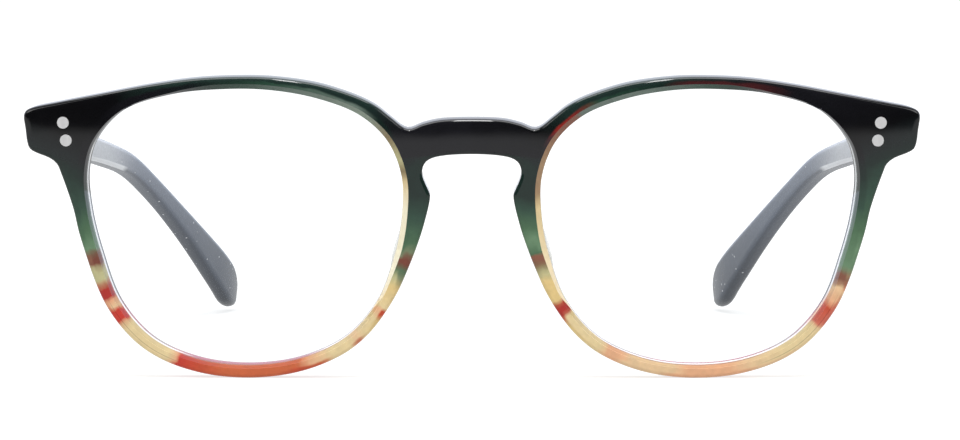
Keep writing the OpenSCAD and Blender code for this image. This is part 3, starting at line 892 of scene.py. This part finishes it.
    def ramp(self, place: NodeSocket, bands: Bands) -> NodeSocket:
        """Adds a colour ramp along the rim, from the middle of the bridge all the way round to it.

        Args:
            place: Position along the ramp, 0 to 1.
            bands: Colours by their places on the lens edge, by rising place from the bridge.

        Returns:
            The colour.
        """
        stops = list(bands.items())
        if len(stops) > RAMP_STOPS:
            half = len(stops) // 2
            past = self.math("GREATER_THAN", place, (stops[half][0] + RAMP_START) / RAMP_SPAN)
            return self.blend(past, *(self.ramp(place, dict(b)) for b in (stops[: half + 1], stops[half:])))
        node = self.add("ValToRGB", Fac=place)
        band = node.color_ramp.elements
        band.remove(band[1])
        band[0].position = 0
        band[0].color = linear(stops[0][1].value)
        for t, paint in stops:
            band.new((t + RAMP_START) / RAMP_SPAN).color = linear(paint.value)
        return node.outputs["Color"]

    def bump(self, height: Value, strength: float, distance: float) -> NodeSocket:
        """Normal bumped by heights from 0 to 1, where 1 is the distance in metres."""
        return self.add("Bump", Strength=strength, Distance=distance, Height=height).outputs["Normal"]

    def surface(self, **inputs: Value) -> Material:
        """Gives the material the main shader, with inputs by name and _ for a space."""
        self.plug(self.add("BsdfPrincipled", **inputs).outputs[0], self.output.inputs["Surface"])
        return self.owner

    def mixed(self, share: Value, first: Node, second: Node) -> Material:
        """Mixes two shaders.

        Args:
            share: Share of the second.
            first: First shader.
            second: Second shader.

        Returns:
            The material.
        """
        mix = self.add("MixShader", Fac=share)
        self.plug(first.outputs[0], mix.inputs[1])
        self.plug(second.outputs[0], mix.inputs[2])
        self.plug(mix.outputs[0], self.output.inputs["Surface"])
        return self.owner


P = Paint
# Bands run from the keyhole at -12.6, round the bottom and up the outer side at 0, to the bridge at 9.4
RAMP_START, RAMP_SPAN, RAMP_STOPS = 12.6, 22.0, 28
BRIDGE_SIDE: Bands = {-12.4: P.SLATE, -12.1: P.PINE, -11.5: P.PINE}
LEFT_KEYHOLE: Bands = {**BRIDGE_SIDE, -11.2: P.FOREST, -10.8: P.GREEN}
RIGHT_OUTER: Bands = {
    **BRIDGE_SIDE, -11: P.FOREST, -10.45: P.GREEN, -10.25: P.MOSS, -10.17: P.BRICK, -9.99: P.BRICK,
    -9.88: P.GREEN, -9.7: P.MOSS, -9.45: P.GOLD, -8.96: P.CREAM, -8.92: P.RUST, -8.78: P.RUST, -8.73: P.GOLD,
    -8.32: P.CREAM, -8.26: P.ORANGE, -8.08: P.ORANGE, -7.96: P.CREAM, -7.6: P.CREAM, -7.4: P.TERRACOTTA,
    -6.9: P.RUST, -6.5: P.TERRACOTTA, -5.6: P.TERRACOTTA, -5.1: P.RUST, -4.64: P.RED, -4.56: P.PEACH,
    -4.45: P.CREAM, -3.42: P.CREAM, -3.37: P.RED, -3.13: P.RED, -3.08: P.ORANGE, -2.9: P.PEACH,
    -2.83: P.DARK_RED, -2.58: P.DARK_RED, -2.51: P.LIGHT_OLIVE, -2.22: P.LIGHT_OLIVE, -2.13: P.BROWN,
    -1.95: P.BROWN, -1.88: P.SAGE, -1.55: P.GREEN, -1.0: P.FOREST, -0.3: P.PINE, 0.3: P.SLATE, 0.8: P.BLACK,
    2: P.BLACK, 3: P.DEEP_GREEN, 7: P.DEEP_GREEN, 7.8: P.CHARCOAL, 8.6: P.CHARCOAL,
}
RIGHT_INNER: Bands = {
    **BRIDGE_SIDE, -11: P.FOREST, -10.35: P.GREEN, -10.2: P.MOSS, -10.13: P.BRICK, -9.98: P.BRICK,
    -9.87: P.GREEN, -9.68: P.LIGHT_OLIVE, -9.45: P.GOLD, -8.96: P.CREAM, -8.9: P.PEACH, -8.84: P.PEACH,
    -8.78: P.CREAM, -8.34: P.CREAM, -8.26: P.SAND, -8.12: P.SAND, -8.02: P.CREAM, -7.6: P.CREAM, -7.2: P.PEACH,
    -6.9: P.TERRACOTTA, -5.6: P.TERRACOTTA, -5.1: P.RUST, -4.68: P.RED, -4.6: P.PEACH, -4.45: P.CREAM,
    -3.42: P.CREAM, -3.36: P.RED, -3.13: P.RED, -3.07: P.SAND, -2.9: P.PEACH, -2.82: P.DARK_RED,
    -2.58: P.DARK_RED, -2.5: P.LIGHT_OLIVE, -2.24: P.LIGHT_OLIVE, -2.14: P.BRICK, -1.96: P.BRICK, -1.88: P.SAGE,
    -1.4: P.GREEN, -0.9: P.FOREST, -0.3: P.PINE, 0.4: P.CHARCOAL, 1.2: P.BLACK, 2.6: P.CHARCOAL, 3.4: P.SLATE,
    5: P.FOREST, 6.8: P.GREY_GREEN, 7.4: P.PINE, 8.2: P.CHARCOAL, 8.6: P.CHARCOAL,
}
LEFT_OUTER: Bands = {
    **LEFT_KEYHOLE, -10.5: P.SAGE, -10.28: P.GREEN, -10.21: P.BROWN, -10.06: P.BROWN, -9.97: P.OLIVE,
    -9.8: P.LIGHT_OLIVE, -9.62: P.GOLD, -9.13: P.GOLD, -9.07: P.DARK_RED, -8.83: P.DARK_RED, -8.77: P.RUST,
    -8.71: P.ORANGE, -8.62: P.GOLD, -7.85: P.CREAM, -7.74: P.PEACH, -7.5: P.PEACH, -7.38: P.SAND, -6.7: P.SAND,
    -6.4: P.PEACH, -5.1: P.PEACH, -4.8: P.SAND, -4.4: P.SAND, -3.6: P.CREAM, -3.46: P.SAND, -3.38: P.CORAL,
    -3.0: P.CORAL, -2.9: P.ORANGE, -2.7: P.SAND, -2.62: P.ORANGE, -2.5: P.BROWN, -2.34: P.TAN, -2.26: P.SAGE,
    -1.8: P.SAGE, -1.4: P.GREEN, -0.7: P.FOREST, 0: P.PINE, 0.5: P.SLATE, 1: P.BLACK, 2.2: P.CHARCOAL,
    3.4: P.CHARCOAL, 5.5: P.DEEP_GREEN, 7.2: P.DEEP_GREEN, 7.9: P.BLACK, 8.6: P.CHARCOAL,
}
LEFT_INNER: Bands = {
    **LEFT_KEYHOLE, -10.4: P.SAGE, -10.26: P.GREEN, -10.2: P.BROWN, -10.06: P.BROWN, -9.97: P.OLIVE,
    -9.78: P.LIGHT_OLIVE, -9.6: P.GOLD, -9.13: P.GOLD, -9.07: P.DARK_RED, -8.83: P.DARK_RED, -8.75: P.CREAM,
    -7.82: P.CREAM, -7.72: P.PEACH, -7.4: P.PEACH, -7.2: P.SAND, -6.4: P.SAND, -6.2: P.PEACH, -5.4: P.PEACH,
    -5: P.SAND, -4.2: P.CREAM, -3.52: P.CREAM, -3.4: P.CORAL, -3.04: P.RUST, -2.9: P.PEACH, -2.62: P.SAND,
    -2.52: P.BROWN, -2.34: P.BROWN, -2.26: P.SAGE, -1.4: P.GREEN, -0.9: P.FOREST, -0.2: P.PINE, 0.4: P.CHARCOAL,
    1: P.BLACK, 2.6: P.CHARCOAL, 3.4: P.WINE, 4.7: P.WINE, 5.2: P.PINE, 6.6: P.FOREST, 7.05: P.BLUSH,
    7.45: P.BRAMBLE, 7.7: P.BRAMBLE, 8.0: P.WINE, 8.3: P.CHARCOAL, 8.6: P.CHARCOAL,
}
RIGHT_UNDER: Bands = {
    -12.4: P.LIGHT_OLIVE, -12.1: P.OLIVE, -11.8: P.CREAM, -11.2: P.IVORY, -9.8: P.IVORY, -9: P.PALE_CREAM,
    -7.6: P.SHELL, -7.1: P.ROSE, -5: P.ROSE, -4.5: P.SHELL, -3.3: P.SHELL, -2.6: P.MIST, 0.7: P.MIST,
    1.2: P.SLATE, 2: P.CHARCOAL, 3: P.SLATE, 4.4: P.FOREST, 5.6: P.GREY_GREEN, 7.2: P.PALE_GREEN,
    7.9: P.OLIVE, 8.6: P.LIGHT_OLIVE,
}
LEFT_UNDER: Bands = {
    -12.4: P.TAN, -11.6: P.TAN, -11.2: P.CREAM, -10: P.PALE_CREAM, -9.1: P.PALE_CREAM, -7.9: P.SHELL,
    -5: P.SHELL, -3.6: P.SHELL, -3.3: P.PEACH, -2.6: P.MIST, 0.7: P.MIST, 1.2: P.SLATE, 2: P.CHARCOAL,
    3: P.SLATE, 4.2: P.FOREST, 5.6: P.GREY_GREEN, 7: P.GREY_GREEN, 7.2: P.BROWN, 7.6: P.BROWN, 8.6: P.TAN,
}
EDGE_LINE: Bands = {
    -12.4: P.DUSK, -9: P.DUSK, -7.4: P.DUSK, -6.6: P.ROSE, -4.9: P.ROSE, -4.2: P.DUSK, -3.4: P.ROSE,
    -2.8: P.STEEL, 0.6: P.STEEL, 8.6: P.CHARCOAL,
}


@dataclass(frozen=True)
class Acetate:
    """Polished acetate with bands along the rim.

    Spans along count knots of the lens edge, spans across are in millimetres from the lens opening, and
    spans of the layer are as Front.section gives it. The first number of a span is where its share is 0.
    """

    roughness: float = 0.045
    wander: float = 0.11
    across_soft: float = 0.9
    outer_across: Span = (1.05, 1.5)
    line_at: float = 1.08
    line_w: float = 0.1
    line_dark: float = 0.4
    line_along: tuple[Span, Span] = ((-5, -4.3), (-2.6, -3.2))
    edge_layer: tuple[Span, Span] = ((1.6, 1.72), (2.5, 2.2))
    thin_along: tuple[Span, Span] = ((-9.4, -8.6), (3.6, 2.6))
    thin_from: float = 1.25
    front_layer: Span = (2.6, 2.2)
    face_ends: Span = (0.02, 0.1)
    # Painted shade on the bevel, which catches more light
    bevel_rich: float = 1.12
    bevel_shade: float = 0.72
    seam_along: tuple[Span, Span] = ((-8.1, -7.5), (-4.4, -5))
    seam_down: Span = (-0.3, -0.2)
    seam_share: float = 0.55
    # Where the painted reflection on the keyhole's side walls lies
    keyhole_x: Span = (0.0084, 0.0081)
    keyhole_z: tuple[Span, Span] = ((0.029, 0.0293), (0.0334, 0.0316))
    keyhole_facing: Span = (-0.5, -0.7)
    keyhole_slant: Span = (0.45, 0.7)
    mottle: float = 0.3
    speck: Colour = (225, 228, 230)

    def build(self) -> Material:
        """Makes the material.

        Returns:
            The material.
        """
        n = Nodes("banded_acetate")
        along, offset, layer = n.split(n.add("Attribute", attribute_name="grain").outputs["Vector"])
        along = n.math("ADD", along, n.drift(420, 3, 2 * self.wander))
        place = n.math("DIVIDE", n.math("ADD", along, RAMP_START), RAMP_SPAN)
        x, _, z = n.here()
        is_left = n.math("GREATER_THAN", x, 0.0)
        out = n.step(n.math("ADD", offset, n.drift(260, 2, self.across_soft)), self.outer_across)
        right, left = (
            n.blend(out, n.ramp(place, inner), n.ramp(place, outer))
            for inner, outer in ((RIGHT_INNER, RIGHT_OUTER), (LEFT_INNER, LEFT_OUTER))
        )
        face = n.shaded(n.blend(is_left, right, left), self.line(n, along, offset))
        under = n.blend(is_left, n.ramp(place, RIGHT_UNDER), n.ramp(place, LEFT_UNDER))
        under = n.blend(n.window(layer, *self.edge_layer), under, n.ramp(place, EDGE_LINE))
        # At the temple side and the bottom the face's colour reaches over the bevel
        thin = n.window(along, *self.thin_along)
        down = n.math("SUBTRACT", layer, n.times(thin, self.thin_from))
        front = n.step(layer, self.front_layer)
        # Painted shade: the bevel turns up to the light, so its colour is made richer and darker to offset the
        # extra light, and it ends in a brown line
        bevel = n.times(thin, front, n.step(layer, self.face_ends))
        bevel_shaded = n.add("HueSaturation", Saturation=self.bevel_rich, Value=self.bevel_shade, Fac=bevel, Color=face)
        seam = n.times(n.window(along, *self.seam_along), bevel, n.step(down, self.seam_down), self.seam_share)
        face = n.blend(seam, bevel_shaded.outputs["Color"], linear(Paint.BROWN.value))
        colour = n.blend(n.times(n.step(down, self.face_ends), front), face, under)
        # Painted reflection: the keyhole's side walls turn pale where they are seen at a slant
        colour = n.blend(self.keyhole(n, x, z), colour, linear(Paint.MIST.value))
        colour = n.shaded(colour, n.math("MULTIPLY_ADD", n.noise(900, 4), self.mottle, 1 - self.mottle / 2))
        colour = n.blend(n.specks(size=0.06, keep=0.985), colour, linear(self.speck))
        normal = n.bump(n.noise(160, 1), 0.2, 0.00004)
        return n.surface(Base_Color=colour, Roughness=self.roughness, IOR=ACETATE_IOR, Normal=normal)

    def keyhole(self, n: Nodes, x: NodeSocket, z: NodeSocket) -> NodeSocket:
        """Masks a painted reflection: the keyhole's side walls, made pale where they are seen at a slant.

        Args:
            n: The material's nodes.
            x: X on the object.
            z: Z on the object.

        Returns:
            1 on the walls, 0 elsewhere.
        """
        inward = n.times(n.here("Normal")[0], n.math("SIGN", x))
        return n.times(
            n.step(n.add("LayerWeight", Blend=0.5).outputs["Facing"], self.keyhole_slant),
            n.step(inward, self.keyhole_facing),
            n.step(n.math("ABSOLUTE", x), self.keyhole_x),
            n.window(z, *self.keyhole_z),
        )

    def line(self, n: Nodes, along: NodeSocket, offset: NodeSocket) -> NodeSocket:
        """Thin darker line that runs along the lower outer part of each rim.

        Args:
            n: The material's nodes.
            along: Place on the lens edge.
            offset: Distance from the lens opening in millimetres.

        Returns:
            The share of the colour that is left.
        """
        inner = n.step(offset, (self.line_at - self.line_w, self.line_at))
        outer = n.step(offset, (self.line_at, self.line_at + self.line_w))
        across = n.math("SUBTRACT", inner, outer)
        return n.math("SUBTRACT", 1.0, n.times(across, n.window(along, *self.line_along), self.line_dark))


@dataclass(frozen=True)
class SatinAcetate:
    """Slate acetate of the temples: satin, tiny pale specks, painted glare near the hinge, painted shade below
    and at the tip.

    The first number of a span is where its share is 0.
    """

    # Painted reflection on the inner face near the hinge
    pale: Colour = (196, 200, 208)
    pale_y: Span = (0.014, -0.012)
    pale_inward: Span = (-0.4, -0.8)
    # Painted highlight: a bright strip on the lower inner rounding near the hinge
    lit_strip: Colour = (234, 237, 242)
    lit_strip_y: Span = (0.006, 0.002)
    lit_strip_down: Span = (-0.12, -0.3)
    lit_strip_inward: Span = (-0.2, -0.35)
    base: Colour = (112, 121, 137)
    # Painted shade towards the tip
    tip: Colour = (64, 72, 84)
    tip_y: Span = (0.005, 0.075)
    # Painted shade on faces that turn downward
    below: float = 0.62
    below_down: Span = (-0.35, -0.75)
    fleck: Colour = (222, 226, 230)
    roughness: float = 0.24
    cloud: float = 0.12
    grain: float = 0.16
    darkest: float = 0.82
    noise_span: Span = (0.3, 0.7)

    def build(self) -> Material:
        """Makes the material.

        Returns:
            The material.
        """
        n = Nodes("satin_acetate")
        x, y, _ = n.here()
        facing_x, _, facing_z = n.here("Normal")
        inward = n.times(facing_x, n.math("SIGN", x))
        # Painted reflection: the inner face near the hinge is made pale, as if it mirrored the white
        # surroundings at a slant
        inner = n.times(n.step(inward, self.pale_inward), n.step(y, self.pale_y))
        colour = n.blend(inner, linear(self.base), linear(self.pale))
        # Painted shade: the colour darkens towards the tip
        colour = n.blend(n.step(y, self.tip_y), colour, linear(self.tip))
        cloud = n.step(n.noise(90, 3, (1, 0.35, 1)), self.noise_span)
        cloud = n.math("MULTIPLY_ADD", cloud, self.cloud, self.darkest)
        cloud = n.math("MULTIPLY_ADD", n.step(n.noise(2200, 3), self.noise_span), self.grain, cloud)
        # Painted shade: faces that turn downward are darkened
        shade = n.times(n.step(facing_z, self.below_down), 1 - self.below)
        colour = n.shaded(colour, n.times(cloud, n.math("SUBTRACT", 1.0, shade)))
        # Painted highlight: a bright strip on the lower inner rounding near the hinge, where a lit facet would
        # be
        lit_strip = n.times(
            n.step(y, self.lit_strip_y), n.step(facing_z, self.lit_strip_down), n.step(inward, self.lit_strip_inward)
        )
        colour = n.blend(lit_strip, colour, linear(self.lit_strip))
        colour = n.blend(n.specks(size=0.1, keep=0.45), colour, linear(self.fleck))
        normal = n.bump(n.noise(5000, 2), 0.06, 0.00002)
        return n.surface(Base_Color=colour, Roughness=self.roughness, IOR=ACETATE_IOR, Normal=normal)


@dataclass(frozen=True)
class PadAcetate:
    """Crystal acetate of the nose pads: nearly clear, a little milky at a slant."""

    milk: float = 0.12
    tint: tuple = (0.95, 0.955, 0.94, 1)
    darker: Colour = (206, 204, 190)
    paler: Colour = (232, 229, 216)
    roughness: float = 0.12
    ior: float = 1.3

    def build(self) -> Material:
        """Makes the material.

        Returns:
            The material.
        """
        n = Nodes("pad_acetate")
        colour = n.blend(n.noise(300, 2), linear(self.darker), linear(self.paler))
        body = n.add("BsdfPrincipled", Base_Color=colour, Roughness=self.roughness)
        share = n.math("ADD", n.add("Fresnel", IOR=self.ior).outputs[0], self.milk, clamp=True)
        return n.mixed(share, n.add("BsdfTransparent", Color=self.tint), body)


@dataclass(frozen=True)
class ClearLens:
    """Clear lens with a faint coating glare."""

    glare: float = 0.75
    smear: float = 0.2
    tint: tuple = (0.985, 0.992, 0.996, 1)
    coating: tuple = (0.9, 0.95, 1.0, 1)
    roughness: float = 0.02
    ior: float = 1.35

    def build(self) -> Material:
        """Makes the material.

        Returns:
            The material.
        """
        n = Nodes("clear_lens")
        # Only the outer sides mirror, so nothing is seen twice within the glass
        outer = n.math("SUBTRACT", 1.0, n.add("NewGeometry").outputs["Backfacing"])
        smear = n.math("MULTIPLY_ADD", n.noise(60, 2), self.smear, self.glare)
        share = n.times(n.add("Fresnel", IOR=self.ior).outputs[0], smear, outer)
        shine = n.add("BsdfGlossy", Color=self.coating, Roughness=self.roughness)
        return n.mixed(share, n.add("BsdfTransparent", Color=self.tint), shine)


@dataclass(frozen=True)
class Metal:
    """Satin or polished nickel silver."""

    name: str
    colour: Colour
    roughness: float
    brushed: float
    metallic: float = 1.0
    dull: float = 0.86
    uneven: float = 0.12

    def build(self) -> Material:
        """Makes the material.

        Returns:
            The material.
        """
        n = Nodes(self.name)
        worn = n.noise(1500, 3, (1, 1, 0.15))
        colour = n.blend(worn, linear(self.colour), linear(tuple(int(c * self.dull) for c in self.colour)))
        rough = n.math("MULTIPLY_ADD", worn, self.uneven, self.roughness)
        normal = n.bump(n.noise(4000, 2, (1, 1, 0.08)), self.brushed, 0.00002)
        return n.surface(Base_Color=colour, Metallic=self.metallic, Roughness=rough, Normal=normal)


class Hardware:
    """Metal and pad nodes of the CAD, whose shape is right, with better finishes."""

    def build(self) -> int:
        """Dresses all the nodes that stay.

        Returns:
            The number of nodes dressed.
        """
        groups = {
            "hinge_leaf": Metal("hinge_metal", (178, 178, 180), 0.3, 0.3),
            "rivet": Metal("rivet_metal", (236, 236, 236), 0.42, 0.25, 0.35),
            "hinge_screw": Metal("screw_metal", (200, 200, 204), 0.16, 0.05),
            "core_wire": Metal("core_wire", (170, 170, 172), 0.3, 0.3),
            "nose_pad": PadAcetate(),
        }
        count = 0
        for key, finish in groups.items():
            material = finish.build()
            for node in (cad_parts[name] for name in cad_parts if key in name):
                if not node.material_slots:
                    node.data.materials.append(material)
                for slot in node.material_slots:
                    slot.material = material
                count += 1
        return count


@dataclass(frozen=True)
class Studio:
    """White table, white surroundings, soft lights and the camera of the photo."""

    camera_at: tuple = (0.00304, -0.72885, 0.06478)
    pitch_down: float = 3.447
    yaw: float = 0.152
    focal: float = 159.9
    sensor: float = 36
    clip: Span = (0.01, 20)
    table_size: float = 6
    table_at: tuple = (0, 1.5, -0.00002)
    table_grey: tuple = (0.36, 0.36, 0.36, 1)
    # The table's own light: for all rays, what the camera sees more, and still more at these distances
    table_glow: float = 0.28
    table_seen: float = 0.44
    table_far: float = 0.25
    far: Span = (0.14, 0.4)
    # Its light in mirrors, and the places towards the camera where it sets in
    mirrored: float = 0.75
    mirrored_y: Span = (-0.352, -0.318)
    sky_tint: tuple = (0.86, 0.9, 1, 1)
    sky_fill: float = 0.45
    sky_seen: float = 1.05
    # Light in mirrors, from behind the camera to beyond the table
    sky_y: Span = (-0.35, 0.25)
    sky_mirrored: Span = (0.03, 1.3)
    # Name, place, aim, size and power of each lamp
    lamps: tuple = (
        ("top_softbox", (0, -0.15, 0.9), (0, -0.02, 0.02), (0.9, 0.6), 6),
        ("left_softbox", (-0.75, -0.65, 0.55), (0, -0.05, 0.02), (0.5, 0.5), 2.9),
        ("right_softbox", (0.75, -0.65, 0.55), (0, -0.05, 0.02), (0.5, 0.5), 2.9),
        ("bridge_glint", (0, -0.35, 0.75), (0, -0.06, 0.04), (0.06, 0.4), 1.2),
    )

    def floor(self) -> Object:
        """Makes the table, white to the camera and with soft shadows.

        Returns:
            The table.
        """
        bpy.ops.object.select_all(action="DESELECT")
        bpy.ops.mesh.primitive_plane_add(size=self.table_size, location=self.table_at)
        table = bpy.context.object
        table.name = "table"
        n = Nodes("white_table")
        path = n.add("LightPath").outputs
        place = n.add("NewGeometry").outputs["Position"]
        # White to the camera, also far away, and faintly darker where the shadow lies
        away = n.add("VectorMath", operation="LENGTH", Vector=place).outputs["Value"]
        seen = n.math("MULTIPLY_ADD", n.step(away, self.far), self.table_far, self.table_seen)
        glow = n.math("MULTIPLY_ADD", path["Is Camera Ray"], seen, self.table_glow)
        both = n.add("AddShader")
        n.plug(n.add("Emission", Color=WHITE, Strength=glow).outputs[0], both.inputs[0])
        n.plug(n.add("BsdfDiffuse", Color=self.table_grey).outputs[0], both.inputs[1])
        # What the polished front mirrors: the white table near it, darker towards the camera
        near = n.times(n.step(n.split(place)[1], self.mirrored_y), self.mirrored)
        mirrored = n.add("Emission", Color=WHITE, Strength=near)
        table.data.materials.append(n.mixed(path["Is Glossy Ray"], both, mirrored))
        return table

    def world(self) -> None:
        """Makes the surroundings: white behind, dark behind the camera for what the polish mirrors."""
        n = Nodes("surroundings", "World")
        bpy.context.scene.world = n.owner
        path = n.add("LightPath").outputs
        way = n.split(n.add("TexCoord").outputs["Generated"])
        ahead = n.step(way[1], self.sky_y, self.sky_mirrored)
        glow = n.between(path["Is Glossy Ray"], self.sky_fill, ahead)
        glow = n.between(path["Is Camera Ray"], glow, self.sky_seen)
        sky = n.add("Background", Color=n.blend(path["Is Glossy Ray"], WHITE, self.sky_tint), Strength=glow)
        n.plug(sky.outputs[0], n.output.inputs["Surface"])

    def light(self, name: str, at: tuple, aim: tuple, size: Span, power: float) -> None:
        """Adds a softbox.

        Args:
            name: Name of the light.
            at: Place in metres.
            aim: Point that it faces.
            size: Width and height in metres.
            power: Power in watts.
        """
        data = bpy.data.lights.new(name, "AREA")
        data.shape, data.size, data.size_y, data.energy = "RECTANGLE", *size, power
        lamp = bpy.data.objects.new(name, data)
        bpy.context.scene.collection.objects.link(lamp)
        lamp.location = at
        lamp.rotation_euler = (Vector(aim) - Vector(at)).to_track_quat("-Z", "Y").to_euler()

    def build(self) -> None:
        """Sets the table, the surroundings, the lights and the camera."""
        self.floor()
        self.world()
        for lamp in self.lamps:
            self.light(*lamp)
        camera = bpy.data.cameras.new("camera")
        camera.lens, camera.sensor_width = self.focal, self.sensor
        camera.clip_start, camera.clip_end = self.clip
        view = bpy.data.objects.new("camera", camera)
        bpy.context.scene.collection.objects.link(view)
        view.location = self.camera_at
        view.rotation_euler = (math.radians(90 - self.pitch_down), 0, math.radians(self.yaw))
        bpy.context.scene.camera = view
        bpy.context.scene.view_settings.view_transform = "Standard"


def main() -> None:
    """Builds the looks, piece by piece, and reports each."""
    logging.basicConfig(level=logging.INFO, format="%(message)s")
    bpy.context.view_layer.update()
    sheet = Sheet(FrontSizes())
    pieces = [Front(sheet).build(Acetate().build())]
    lens_finish, temple_finish = ClearLens().build(), SatinAcetate().build()
    for side in Side:
        pieces += [Lens(sheet, side).build(lens_finish), Temple(side).build(temple_finish)]
    for piece in pieces:
        log.info("%s: %d faces", piece.name, len(piece.data.polygons))
    log.info("CAD nodes dressed: %d", Hardware().build())
    Studio().build()


if __name__ == "__main__":
    main()
